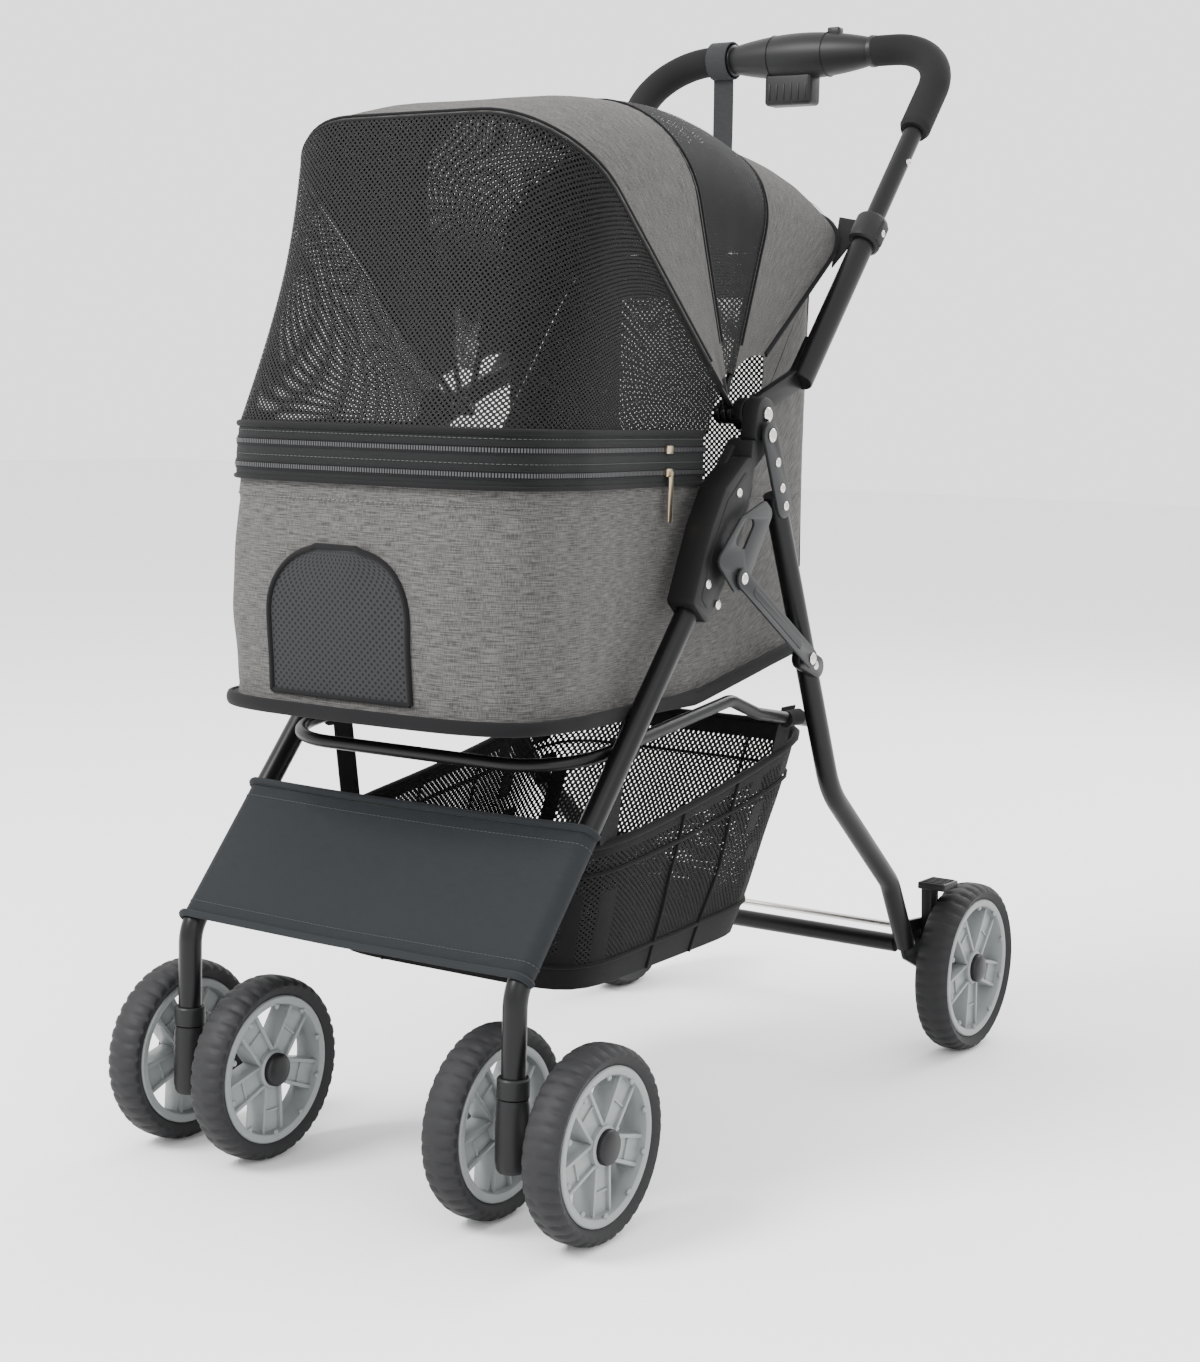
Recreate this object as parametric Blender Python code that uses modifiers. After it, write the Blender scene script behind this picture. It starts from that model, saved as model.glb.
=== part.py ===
"""A four-wheeled folding pet stroller, about 0.45 m wide, 0.83 m long and 0.99 m high.

The origin is on the floor under the middle, the front faces -Y and +Z is up. Every size is in metres.
The handle, the rear legs, the canopy bows and the latches all turn about axes that run along X.
"""

import math

import bmesh
import bpy
from mathutils import Matrix, Vector

SIDES = (("left", -1), ("right", 1))

# Overall sizes and wheels
WIDTH = 0.450
LENGTH = 0.830
FRONT_WHEEL_R = 0.076
FRONT_WHEEL_W = 0.032
REAR_WHEEL_R = 0.0825
REAR_WHEEL_W = 0.034
REAR_WHEEL_X = 0.2013
TYRE_DEPTH = 0.0145
AXLE_R = 0.004
RUNNING_GAP = 0.0006
FIT_GAP = 0.0003
FRONT_AXLE_Y = -LENGTH / 2 + FRONT_WHEEL_R
REAR_AXLE_Y = LENGTH / 2 - REAR_WHEEL_R

# Casters and front legs
TWIN_SPACING = 0.092
CASTER_TRAIL = 0.040
LEG_TUBE_R = 0.0095
CASTER_X = WIDTH / 2 - FRONT_WHEEL_W / 2 - TWIN_SPACING / 2
CASTER_Y = FRONT_AXLE_Y - CASTER_TRAIL
CASTER_TOP = 0.112
FORK_R = 0.0128
LEG_BEND = (CASTER_Y, 0.193)
LEG_TOP = (-0.1525, 0.4585)
CROSS_TUBE_HEIGHT = 0.296

# Fold joint at each side: the housing, its pivots and the plates that lie side by side along X
FOLD_PIVOT = (-0.055, 0.620)
REAR_PIVOT = (-0.057, 0.603)
HOOK_PIVOT = (-0.108, 0.487)
LINK_PIVOT = (0.014, 0.412)
PIN_R = 0.004
SMALL_PIN_R = 0.003
EYE_R = 0.0145
HOUSING_IN, HOUSING_OUT = 0.1500, 0.1768
KNUCKLE_IN, KNUCKLE_OUT = 0.1498, 0.1600
PLATE_IN, PLATE_OUT = 0.1798, 0.1830
HOOK_IN, HOOK_OUT = 0.1842, 0.1868
LINK_IN, LINK_OUT = 0.1878, 0.1903
PIN_INNER_END = 0.1290

# Rear legs
REAR_LEG_X = 0.1700
REAR_LEG_TOP = (-0.027, 0.553)
REAR_KNEE = (0.094, 0.284)
REAR_HIP = (REAR_AXLE_Y - 0.1105, 0.180)
REAR_CROSS = (REAR_AXLE_Y - 0.0705, 0.112)
BRAKE_PIVOT = (REAR_AXLE_Y - 0.0325, REAR_WHEEL_R + 0.0375)
BRACKET_IN, BRACKET_OUT = 0.1680, 0.1720

# Handle: a straight rake on each side, joined across the top
HANDLE_X = 0.1603
HANDLE_RAKE = math.radians(49.5)
HANDLE_FOOT = (0.030, 0.648)
LOWER_TUBE_R = 0.0105
LOWER_TUBE_WALL = 0.0012
LOWER_TUBE_LENGTH = 0.180
SLIDE_GAP = 0.0005
UPPER_TUBE_R = LOWER_TUBE_R - LOWER_TUBE_WALL - SLIDE_GAP
UPPER_TUBE_START = 0.092
GRIP_START = 0.306
GRIP_R = 0.0145
HANDLE_REACH = 0.421
HANDLE_CORNER_R = 0.060
GRIP_INNER_X = 0.0765
SNAP_BUTTON_AT = 0.266
SNAP_BUTTON_R = 0.003
SNAP_BUTTON_TRAVEL = 0.0024
CLAMP_LENGTH = 0.030
CLAMP_R = 0.0158

# Fold release on the handle
RELEASE_HALF_LENGTH = 0.0755
RELEASE_R = 0.0222
RELEASE_END_R = 0.0130
TRIGGER_X = (-0.036, 0.016)
TRIGGER_DEPTH = 0.022
TRIGGER_HEIGHT = 0.031
TRIGGER_TRAVEL = 0.0055
SLIDER_X = (0.029, 0.042)
SLIDER_TRAVEL = 0.006

# Canopy bows: the angle above the floor line behind the pivot, the reach, and the half width
BOW_R = 0.0028
BOW_FRONT = (139.0, 0.335, 0.1445)
BOW_MID = (110.0, 0.262, 0.1385)
BOW_REAR = (70.0, 0.243, 0.1325)
BOW_CORNER = 0.085
BOW_FOOT = 0.0075
CANOPY_FOOT = 0.040
CLOTH = 0.0014

# Cabin: half its outline seen from above, then its heights
CABIN_HALF = (
    (0.000, 0.136), (0.100, 0.134), (0.132, 0.104), (0.1385, 0.020), (0.1425, -0.080), (0.1450, -0.160),
    (0.1500, -0.214), (0.1560, -0.262), (0.1570, -0.300), (0.1450, -0.352), (0.1000, -0.376), (0.000, -0.382),
)
WALL_INSET = 0.0085
WALL = 0.0025
BASE_FRONT_Z = 0.388
BASE_KICK_Y = -0.100
BASE_KICK = 0.165
BASE_THICK = 0.008
BASE_OVERHANG = 0.004
WALL_TOP = 0.565
BAND_BOTTOM, BAND_TOP = 0.5665, 0.6030
BAND_REAR_Y = -0.085
REAR_RISE_Y = -0.030
REAR_WALL_TOP = 0.765
MAT_INSET = 0.016
MAT_THICK = 0.020
HOOP_R = 0.0035
HOOP_Z = 0.5560
HOOP_INSET = 0.0036

# Basket and its support, and the foot panel
BASKET_HOOP_X = 0.1470
BASKET_HOOP_R = 0.0055
BASKET_HOOP_Z = 0.3720
BASKET_HALF = 0.1380
BASKET_FLOOR = (-0.250, 0.158, 0.030, 0.164)
BASKET_RIM = (-0.246, 0.272, 0.126, 0.336)
PANEL_TOP, PANEL_BOTTOM = 0.303, 0.197
PANEL_HALF = 0.1742

STRAP_X = (-0.1000, -0.0780)
STRAP_LENGTH = 0.200
STRAP_THICK = 0.0016

MODEL = bpy.data.collections.new("pet_stroller")
CUTTERS = bpy.data.collections.new("cutters")


# ---------------------------------------------------------------- shapes

def clear_scene():
    for item in list(bpy.data.objects):
        bpy.data.objects.remove(item, do_unlink=True)
    bpy.context.scene.collection.children.link(MODEL)
    bpy.context.scene.collection.children.link(CUTTERS)


def material(name, colour, roughness, metallic=0.0):
    made = bpy.data.materials.new(name)
    made.use_nodes = True
    shader = made.node_tree.nodes["Principled BSDF"]
    shader.inputs["Base Color"].default_value = (*colour, 1.0)
    shader.inputs["Roughness"].default_value = roughness
    shader.inputs["Metallic"].default_value = metallic
    return made


BLACK_PAINT = material("black_paint", (0.018, 0.018, 0.020), 0.38, 0.2)
BLACK_PLASTIC = material("black_plastic", (0.020, 0.020, 0.021), 0.50)
GREY_STEEL = material("grey_steel_plate", (0.075, 0.078, 0.080), 0.45, 0.6)
RIM_PLASTIC = material("rim_plastic", (0.330, 0.350, 0.350), 0.40)
TYRE_RUBBER = material("tyre_rubber", (0.022, 0.022, 0.023), 0.65)
FOAM = material("foam_grip", (0.018, 0.018, 0.018), 0.90)
GREY_CLOTH = material("heather_cloth", (0.150, 0.147, 0.140), 0.95)
SLATE_CLOTH = material("slate_cloth", (0.055, 0.062, 0.070), 0.85)
BLACK_CLOTH = material("black_cloth", (0.015, 0.016, 0.017), 0.90)
BLACK_MESH = material("black_mesh", (0.020, 0.021, 0.022), 0.85)
BRIGHT_STEEL = material("bright_steel", (0.560, 0.550, 0.520), 0.25, 1.0)


def place(item, name, finish, collection=MODEL):
    item.name = name
    item.data.name = name
    if finish:
        item.data.materials.clear()
        item.data.materials.append(finish)
    for holder in list(item.users_collection):
        holder.objects.unlink(item)
    collection.objects.link(item)
    return item


def from_bmesh(mesh, name, finish):
    data = bpy.data.meshes.new(name)
    mesh.to_mesh(data)
    mesh.free()
    return place(bpy.data.objects.new(name, data), name, finish)


def poly_curve(points, dimensions="3D", cyclic=False):
    curve = bpy.data.curves.new("curve", "CURVE")
    curve.dimensions = dimensions
    add_spline(curve, points, cyclic)
    return curve


def add_spline(curve, points, cyclic):
    spline = curve.splines.new("POLY")
    spline.points.add(len(points) - 1)
    for target, point in zip(spline.points, points):
        target.co = (*point, *([0.0] * (3 - len(point))), 1.0)
    spline.use_cyclic_u = cyclic


def bent(points, radii, steps=4):
    """The points with each inner corner turned into an arc of its own radius."""
    points = [Vector(point) for point in points]
    path = [points[0]]
    for before, corner, after, radius in zip(points, points[1:], points[2:], radii):
        inward, outward = (before - corner).normalized(), (after - corner).normalized()
        angle = inward.angle(outward)
        if radius == 0 or angle > math.radians(178):
            path.append(corner)
            continue
        reach = radius / math.tan(angle / 2)
        centre = corner + (inward + outward).normalized() * (radius / math.sin(angle / 2))
        start, end = corner + inward * reach - centre, corner + outward * reach - centre
        for step in range(steps + 1):
            path.append(centre + start.slerp(end, step / steps) * start.length)
    return path + [points[-1]]


def tube(name, points, radius, finish, sides=2, caps=True):
    curve = poly_curve(points)
    curve.bevel_depth = radius
    curve.bevel_resolution = sides
    curve.use_fill_caps = caps
    return place(bpy.data.objects.new(name, curve), name, finish)


def as_mesh(item):
    """The same piece as a mesh with its caps welded on, so that it can be cut or joined."""
    bpy.context.view_layer.update()
    graph = bpy.context.evaluated_depsgraph_get()
    data = bpy.data.meshes.new_from_object(item.evaluated_get(graph))
    mesh = bmesh.new()
    mesh.from_mesh(data)
    bmesh.ops.remove_doubles(mesh, verts=mesh.verts, dist=1e-5)
    bmesh.ops.recalc_face_normals(mesh, faces=mesh.faces)
    mesh.to_mesh(data)
    mesh.free()
    solid = bpy.data.objects.new(item.name, data)
    solid.matrix_world = item.matrix_world.copy()
    name, finish = item.name, item.data.materials[0] if item.data.materials else None
    bpy.data.objects.remove(item, do_unlink=True)
    return place(solid, name, finish)


def hollow_tube(name, points, radius, wall, finish):
    """An open-ended tube with a wall of its own, which another tube slides in."""
    shell = as_mesh(tube(name, points, radius, finish, sides=2, caps=False))
    solidify = shell.modifiers.new("wall", "SOLIDIFY")
    solidify.thickness = wall
    solidify.offset = -1
    return shell


def round_outline(points, radius, steps=3):
    """A closed flat outline with every corner rounded."""
    points = [Vector((*point, 0.0)) for point in points]
    outline = []
    for index, corner in enumerate(points):
        before, after = points[index - 1], points[(index + 1) % len(points)]
        inward, outward = (before - corner).normalized(), (after - corner).normalized()
        angle = inward.angle(outward)
        reach = min(radius / math.tan(angle / 2), 0.45 * min((before - corner).length, (after - corner).length))
        size = reach * math.tan(angle / 2)
        centre = corner + (inward + outward).normalized() * (size / math.sin(angle / 2))
        start, end = corner + inward * reach - centre, corner + outward * reach - centre
        outline += [(centre + start.slerp(end, step / steps) * start.length).to_2d() for step in range(steps + 1)]
    return outline


def circle(centre, radius, steps=12):
    turn = 2 * math.pi / steps
    return [(centre[0] + radius * math.cos(turn * i), centre[1] + radius * math.sin(turn * i)) for i in range(steps)]


def capsule(start, end, radius, steps=5):
    """The outline of a bar with round ends, in the side view."""
    start, end = Vector(start), Vector(end)
    lean = math.atan2(end.y - start.y, end.x - start.x)
    outline = []
    for centre, first in ((end, lean - math.pi / 2), (start, lean + math.pi / 2)):
        for step in range(steps + 1):
            angle = first + math.pi * step / steps
            outline.append((centre.x + radius * math.cos(angle), centre.y + radius * math.sin(angle)))
    return outline


def side_plate(name, side, inner, outer, outline, finish, holes=()):
    """A flat piece seen from the side: its outline holds (y, z) and it spans inner to outer along X."""
    curve = poly_curve(outline, "2D", cyclic=True)
    for hole in holes:
        add_spline(curve, hole, True)
    curve.fill_mode = "BOTH"
    curve.extrude = (outer - inner) / 2
    plate = bpy.data.objects.new(name, curve)
    plate.rotation_euler = (math.pi / 2, 0, math.pi / 2)
    plate.location.x = side * (inner + outer) / 2
    return as_mesh(place(plate, name, finish))


def box(name, low, high, finish, bevel=0.0):
    mesh = bmesh.new()
    bmesh.ops.create_cube(mesh, size=1.0)
    size = Vector(high) - Vector(low)
    bmesh.ops.scale(mesh, vec=size, verts=mesh.verts)
    bmesh.ops.translate(mesh, vec=(Vector(high) + Vector(low)) / 2, verts=mesh.verts)
    if bevel:
        bmesh.ops.bevel(mesh, geom=mesh.edges[:], offset=bevel, segments=1, affect="EDGES")
    return from_bmesh(mesh, name, finish)


def side_box(name, side, low, high, finish, bevel=0.0):
    """A box given for the right side, and mirrored for the left."""
    ends = sorted((side * low[0], side * high[0]))
    return box(name, (ends[0], *low[1:]), (ends[1], *high[1:]), finish, bevel)


def rod(name, start, end, radius, finish, segments=16):
    """A round bar from start to end."""
    start, end = Vector(start), Vector(end)
    along = end - start
    mesh = bmesh.new()
    bmesh.ops.create_cone(
        mesh, cap_ends=True, segments=segments, radius1=radius, radius2=radius, depth=along.length
    )
    turn = along.to_track_quat("Z", "Y").to_matrix().to_4x4()
    bmesh.ops.transform(mesh, matrix=Matrix.Translation((start + end) / 2) @ turn, verts=mesh.verts)
    return from_bmesh(mesh, name, finish)


def turned(name, profile, centre, finish, steps=20, closed=True):
    """A shape turned about an axis along X: the profile holds (radius, distance along X)."""
    data = bpy.data.meshes.new(name)
    count = len(profile)
    edges = [(i, (i + 1) % count) for i in range(count if closed else count - 1)]
    data.from_pydata([(radius, 0, along) for radius, along in profile], edges, [])
    item = place(bpy.data.objects.new(name, data), name, finish)
    screw = item.modifiers.new("turn", "SCREW")
    screw.steps = steps
    screw.render_steps = steps
    screw.use_merge_vertices = True
    screw.merge_threshold = 0.00001
    item.rotation_euler.y = math.pi / 2
    item.location = centre
    return item


def boolean(item, other, operation):
    other.hide_render = True
    other.display_type = "WIRE"
    place(other, item.name + "_" + other.name, None, CUTTERS)
    change = item.modifiers.new(operation.lower(), "BOOLEAN")
    change.operation = operation
    change.object = other


def cut(item, other):
    boolean(item, other, "DIFFERENCE")


def join(item, other):
    boolean(item, other, "UNION")


def sheet(name, rows, thickness, finish, closed=False, floor=False, offset=-1):
    """Cloth or board: a net of points, given its thickness on the inner side."""
    mesh = bmesh.new()
    net = [[mesh.verts.new(point) for point in row] for row in rows]
    width = len(net[0])
    for low, high in zip(net, net[1:]):
        for i in range(width if closed else width - 1):
            j = (i + 1) % width
            mesh.faces.new((low[i], low[j], high[j], high[i]))
    if floor:
        mesh.faces.new(list(reversed(net[0])))
    item = from_bmesh(mesh, name, finish)
    solidify = item.modifiers.new("thickness", "SOLIDIFY")
    solidify.thickness = thickness
    solidify.offset = offset
    solidify.use_even_offset = True
    return item


# ---------------------------------------------------------------- places

def on_handle(along):
    """A point (y, z) on the raked part of the handle, measured from its foot."""
    return (
        HANDLE_FOOT[0] + along * math.cos(HANDLE_RAKE),
        HANDLE_FOOT[1] + along * math.sin(HANDLE_RAKE),
    )


def base_top(y):
    """The height of the cabin's base, level at the front and kicked up behind."""
    return BASE_FRONT_Z + max(0.0, y - BASE_KICK_Y) * BASE_KICK


def smooth(points, per_span):
    """A smooth curve through the points, with the first and last kept."""
    padded = [points[0], *points, points[-1]]
    path = []
    for a, b, c, d in zip(padded, padded[1:], padded[2:], padded[3:]):
        for step in range(per_span):
            t = step / per_span
            weights = (
                -0.5 * t + t * t - 0.5 * t**3,
                1 - 2.5 * t * t + 1.5 * t**3,
                0.5 * t + 2 * t * t - 1.5 * t**3,
                -0.5 * t * t + 0.5 * t**3,
            )
            path.append(tuple(sum(w * p[k] for w, p in zip(weights, (a, b, c, d))) for k in range(2)))
    return path + [points[-1]]


def cabin_loop(grow, per_span=2):
    """The cabin's outline from above, anticlockwise from the middle of the back, grown outwards."""
    right = smooth(CABIN_HALF, per_span)
    loop = right[:-1] + [(-x, y) for x, y in reversed(right[1:])]
    grown = []
    for index, (x, y) in enumerate(loop):
        ahead, behind = loop[(index + 1) % len(loop)], loop[index - 1]
        along = Vector((ahead[0] - behind[0], ahead[1] - behind[1])).normalized()
        grown.append((x - along.y * grow, y + along.x * grow))
    return grown


def arch(angle, reach, half, start=0.0, grow=0.0, columns=5):
    """A bow's curve from its left foot over the top to its right foot, as points in space."""
    lean = math.radians(angle)
    across = half + grow
    top = reach + grow
    flat = [(-across, start), (-across, top), (across, top), (across, start)]
    path = bent([(x, r, 0) for x, r in flat], (BOW_CORNER, BOW_CORNER), columns)
    return [
        (x, FOLD_PIVOT[0] + r * math.cos(lean), FOLD_PIVOT[1] + r * math.sin(lean)) for x, r, _ in path
    ]


def resampled(points, count):
    """The same curve with its points evenly spaced."""
    points = [Vector(point) for point in points]
    spans = [(b - a).length for a, b in zip(points, points[1:])]
    total, path = sum(spans), []
    for index in range(count):
        distance = total * index / (count - 1)
        for start, end, span in zip(points, points[1:], spans):
            if distance <= span + 1e-9:
                path.append(start.lerp(end, min(1.0, distance / span)))
                break
            distance -= span
    return path


# ---------------------------------------------------------------- front frame and casters

def front_leg_frame():
    """Both front legs and the tube that joins them inside the foot panel's top hem."""
    legs = []
    for name, side in SIDES:
        x = side * CASTER_X
        route = bent(
            [(x, CASTER_Y, CASTER_TOP + RUNNING_GAP), (x, *LEG_BEND), (x, *LEG_TOP)], (0.035,)
        )
        legs.append(as_mesh(tube("leg_" + name, route, LEG_TUBE_R, BLACK_PAINT, sides=2)))
    rise = (CROSS_TUBE_HEIGHT - LEG_BEND[1]) / (LEG_TOP[1] - LEG_BEND[1])
    y = LEG_BEND[0] + rise * (LEG_TOP[0] - LEG_BEND[0])
    cross = rod(
        "cross", (-CASTER_X, y, CROSS_TUBE_HEIGHT), (CASTER_X, y, CROSS_TUBE_HEIGHT), 0.007, BLACK_PAINT
    )
    frame = place(legs[0], "front_leg_frame", BLACK_PAINT)
    join(frame, cross)
    join(frame, legs[1])


def caster_fork(name, side):
    """The swivelling caster body, with the fixed spindle that both of its wheels turn on."""
    x = side * CASTER_X
    axle = (x, FRONT_AXLE_Y, FRONT_WHEEL_R)
    fork = rod("caster_fork_" + name, (x, CASTER_Y, 0.058), (x, CASTER_Y, CASTER_TOP), FORK_R, BLACK_PLASTIC)
    join(fork, box("arm", (x - 0.010, CASTER_Y, 0.064), (x + 0.010, FRONT_AXLE_Y, 0.090), None))
    hub = TWIN_SPACING / 2 - FRONT_WHEEL_W / 2 - RUNNING_GAP
    join(fork, rod("hub", (x - hub, *axle[1:]), (x + hub, *axle[1:]), 0.0125, None))
    spindle = TWIN_SPACING / 2 + FRONT_WHEEL_W / 2 - 0.006
    join(fork, rod("spindle", (x - spindle, *axle[1:]), (x + spindle, *axle[1:]), AXLE_R, None))


def tyre(name, centre, radius, width):
    half, inner = width / 2, radius - TYRE_DEPTH
    profile = [
        (inner, -half * 0.78), (radius * 0.90, -half), (radius * 0.975, -half * 0.72), (radius, -half * 0.25),
        (radius, half * 0.25), (radius * 0.975, half * 0.72), (radius * 0.90, half), (inner, half * 0.78),
    ]
    turned(name, list(reversed(profile)), centre, TYRE_RUBBER)


def rim(name, centre, radius, width):
    """A wheel rim with a bored hub and five openings between its spokes."""
    outer, half = radius - TYRE_DEPTH - FIT_GAP, width / 2
    ring, hub, bore = outer - 0.0085, 0.0165, AXLE_R + 0.0005
    profile = [
        (bore, half * 0.80), (hub, half * 0.80), (hub + 0.006, half * 0.36), (ring - 0.004, half * 0.36),
        (ring, half * 0.74), (outer, half * 0.74), (outer, -half * 0.74), (ring, -half * 0.74),
        (ring - 0.004, -half * 0.10), (hub + 0.006, -half * 0.10), (hub, -half * 0.80), (bore, -half * 0.80),
    ]
    wheel = as_mesh(turned(name, profile, centre, RIM_PLASTIC))
    inner, outer_edge = hub + 0.009, ring - 0.006
    curve = poly_curve([(0, 0)], "2D")
    curve.splines.clear()
    for spoke in range(5):
        middle = math.radians(90 + 72 * spoke)
        corners = ((inner, -0.30), (outer_edge, -0.38), (outer_edge, 0.38), (inner, 0.30))
        outline = [
            (centre[1] + r * math.cos(middle + a), centre[2] + r * math.sin(middle + a)) for r, a in corners
        ]
        add_spline(curve, outline, True)
    curve.fill_mode = "BOTH"
    curve.extrude = width
    window = bpy.data.objects.new("windows", curve)
    window.rotation_euler = (math.pi / 2, 0, math.pi / 2)
    window.location.x = centre[0]
    cut(wheel, as_mesh(place(window, "windows", None)))


def wheels():
    for name, side in SIDES:
        for place_name, step in (("inner", -1), ("outer", 1)):
            x = side * (CASTER_X + step * TWIN_SPACING / 2)
            centre = (x, FRONT_AXLE_Y, FRONT_WHEEL_R)
            tyre(f"front_tyre_{name}_{place_name}", centre, FRONT_WHEEL_R, FRONT_WHEEL_W)
            rim(f"front_rim_{name}_{place_name}", centre, FRONT_WHEEL_R, FRONT_WHEEL_W)
        centre = (side * REAR_WHEEL_X, REAR_AXLE_Y, REAR_WHEEL_R)
        tyre(f"rear_tyre_{name}", centre, REAR_WHEEL_R, REAR_WHEEL_W)
        rim(f"rear_rim_{name}", centre, REAR_WHEEL_R, REAR_WHEEL_W)


# ---------------------------------------------------------------- fold joint

def across(side, inner, outer, at, radius, segments=16):
    """A pin along X at the side-view point, from inner to outer."""
    return rod("pin", (side * inner, *at), (side * outer, *at), radius, None, segments)


def hinge_housing(name, side):
    """The side joint that holds the front leg's top and the pivots of the handle and the rear leg."""
    lower = [
        (-0.1415, 0.4500), (-0.0990, 0.5000), (-0.0800, 0.5450), (-0.0695, 0.5820), (-0.0820, 0.5860),
        (-0.1180, 0.5600), (-0.1370, 0.5300), (-0.1640, 0.4690),
    ]
    web = [
        (-0.1100, 0.5050), (-0.0905, 0.5180), (-0.0480, 0.5500), (-0.0400, 0.5750), (-0.0420, 0.6000),
        (-0.0720, 0.6000), (-0.1000, 0.5700),
    ]
    root = [(-0.0800, 0.5700), (-0.0540, 0.5880), (-0.0530, 0.5991), (-0.0765, 0.5987)]
    housing = side_plate(
        "hinge_housing_" + name, side, HOUSING_IN, HOUSING_OUT, round_outline(lower, 0.006), BLACK_PLASTIC
    )
    join(housing, side_plate("web", side, HOUSING_IN + 0.0005, KNUCKLE_OUT - 0.0002, round_outline(web, 0.006), None))
    join(housing, side_plate("root", side, HOUSING_IN + 0.001, HOUSING_OUT - 0.0003, root, None))
    eye = capsule(FOLD_PIVOT, REAR_PIVOT, EYE_R)
    join(housing, side_plate("eye", side, KNUCKLE_OUT + RUNNING_GAP, HOUSING_OUT - 0.0006, eye, None))
    join(housing, across(side, PIN_INNER_END, HOUSING_OUT + 0.0025, FOLD_PIVOT, PIN_R))
    join(housing, across(side, HOUSING_OUT - 0.006, PLATE_OUT + 0.0008, REAR_PIVOT, PIN_R))
    join(housing, across(side, HOUSING_OUT - 0.006, HOOK_OUT + 0.0006, HOOK_PIVOT, SMALL_PIN_R))


def hook_plate(name, side):
    """The flat latch that turns on the lower rivet and lets the folding link go."""
    outline = [
        (-0.0700, 0.5500), (-0.0560, 0.5400), (-0.0980, 0.4790), (-0.1160, 0.4760), (-0.1450, 0.5020),
        (-0.1280, 0.5190), (-0.1080, 0.5370),
    ]
    slot = [(-0.1200, 0.5160), (-0.1010, 0.5360), (-0.0840, 0.5340), (-0.1030, 0.5100)]
    holes = [circle(HOOK_PIVOT, SMALL_PIN_R + 0.0004), slot]
    side_plate("hook_plate_" + name, side, HOOK_IN, HOOK_OUT, round_outline(outline, 0.007), GREY_STEEL, holes)


def link_bar(name, side):
    """The folding link, a flat bar that turns on the rear leg."""
    bar = capsule(HOOK_PIVOT, LINK_PIVOT, 0.0085)
    hole = [circle(LINK_PIVOT, SMALL_PIN_R + 0.0004)]
    side_plate("link_bar_" + name, side, LINK_IN, LINK_OUT, bar, GREY_STEEL, hole)


# ---------------------------------------------------------------- rear frame

def rear_leg(name, side):
    x = side * REAR_LEG_X
    route = bent(
        [(x, *REAR_LEG_TOP), (x, *REAR_KNEE), (x, *REAR_HIP), (x, *REAR_CROSS)], (0.09, 0.045)
    )
    leg = as_mesh(tube("rear_leg_" + name, route, LEG_TUBE_R, BLACK_PAINT, sides=2))
    top = (REAR_CROSS[0] - 0.014, REAR_CROSS[1] + 0.008)
    outline = [
        top, (top[0] + 0.012, top[1] + 0.016), (BRAKE_PIVOT[0], BRAKE_PIVOT[1] + 0.013),
        (BRAKE_PIVOT[0] + 0.016, BRAKE_PIVOT[1] + 0.004), (REAR_AXLE_Y + 0.013, REAR_WHEEL_R + 0.006),
        (REAR_AXLE_Y + 0.004, REAR_WHEEL_R - 0.013), (REAR_AXLE_Y - 0.016, REAR_WHEEL_R - 0.010),
        (REAR_CROSS[0] - 0.002, REAR_CROSS[1] - 0.014),
    ]
    hole = [circle(BRAKE_PIVOT, SMALL_PIN_R + 0.0004)]
    bracket = round_outline(outline, 0.008)
    join(leg, side_plate("bracket", side, BRACKET_IN, BRACKET_OUT, bracket, None, hole))
    outer = REAR_WHEEL_X + REAR_WHEEL_W / 2 - 0.006
    join(leg, across(side, BRACKET_IN + 0.001, outer, (REAR_AXLE_Y, REAR_WHEEL_R), AXLE_R))
    clip = capsule(LINK_PIVOT, (LINK_PIVOT[0] + 0.026, LINK_PIVOT[1] - 0.010), 0.0095)
    join(leg, side_plate("clip", side, REAR_LEG_X + 0.0045, PLATE_OUT, clip, None))
    join(leg, across(side, REAR_LEG_X + 0.007, LINK_OUT + 0.0008, LINK_PIVOT, SMALL_PIN_R))


def rear_leg_plate(name, side):
    """The riveted plate that hangs the rear leg from its pivot."""
    outline = capsule(REAR_PIVOT, (REAR_LEG_TOP[0] - 0.004, REAR_LEG_TOP[1] - 0.008), 0.0115)
    hole = [circle(REAR_PIVOT, PIN_R + 0.0004)]
    side_plate("rear_leg_plate_" + name, side, PLATE_IN, PLATE_OUT, outline, GREY_STEEL, hole)


def rear_cross_bar():
    end = REAR_LEG_X - LEG_TUBE_R - FIT_GAP
    rod("rear_cross_bar", (-end, *REAR_CROSS), (end, *REAR_CROSS), 0.0085, BLACK_PAINT)


def brake():
    """A pedal on each side, and the thin rod that turns them together."""
    inner, outer = BRACKET_OUT + RUNNING_GAP, REAR_WHEEL_X - REAR_WHEEL_W / 2 - RUNNING_GAP
    y, z = BRAKE_PIVOT
    for name, side in SIDES:
        lever = [(y - 0.009, z - 0.008), (y + 0.009, z - 0.008), (y + 0.003, z + 0.0495), (y - 0.014, z + 0.0495)]
        pedal = side_plate("brake_pedal_" + name, side, inner, outer, round_outline(lever, 0.004), BLACK_PLASTIC)
        low = (inner + 0.001, y - 0.024, z + 0.0455)
        high = (outer + 0.019, y + 0.007, z + 0.0525)
        join(pedal, side_box("pad", side, low, high, None, 0.0015))
    end = inner - FIT_GAP
    rod("brake_rod", (-end, y, z), (end, y, z), SMALL_PIN_R, BRIGHT_STEEL, 12)


# ---------------------------------------------------------------- handle

def at_handle(side, along, x=HANDLE_X):
    return (side * x, *on_handle(along))


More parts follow.
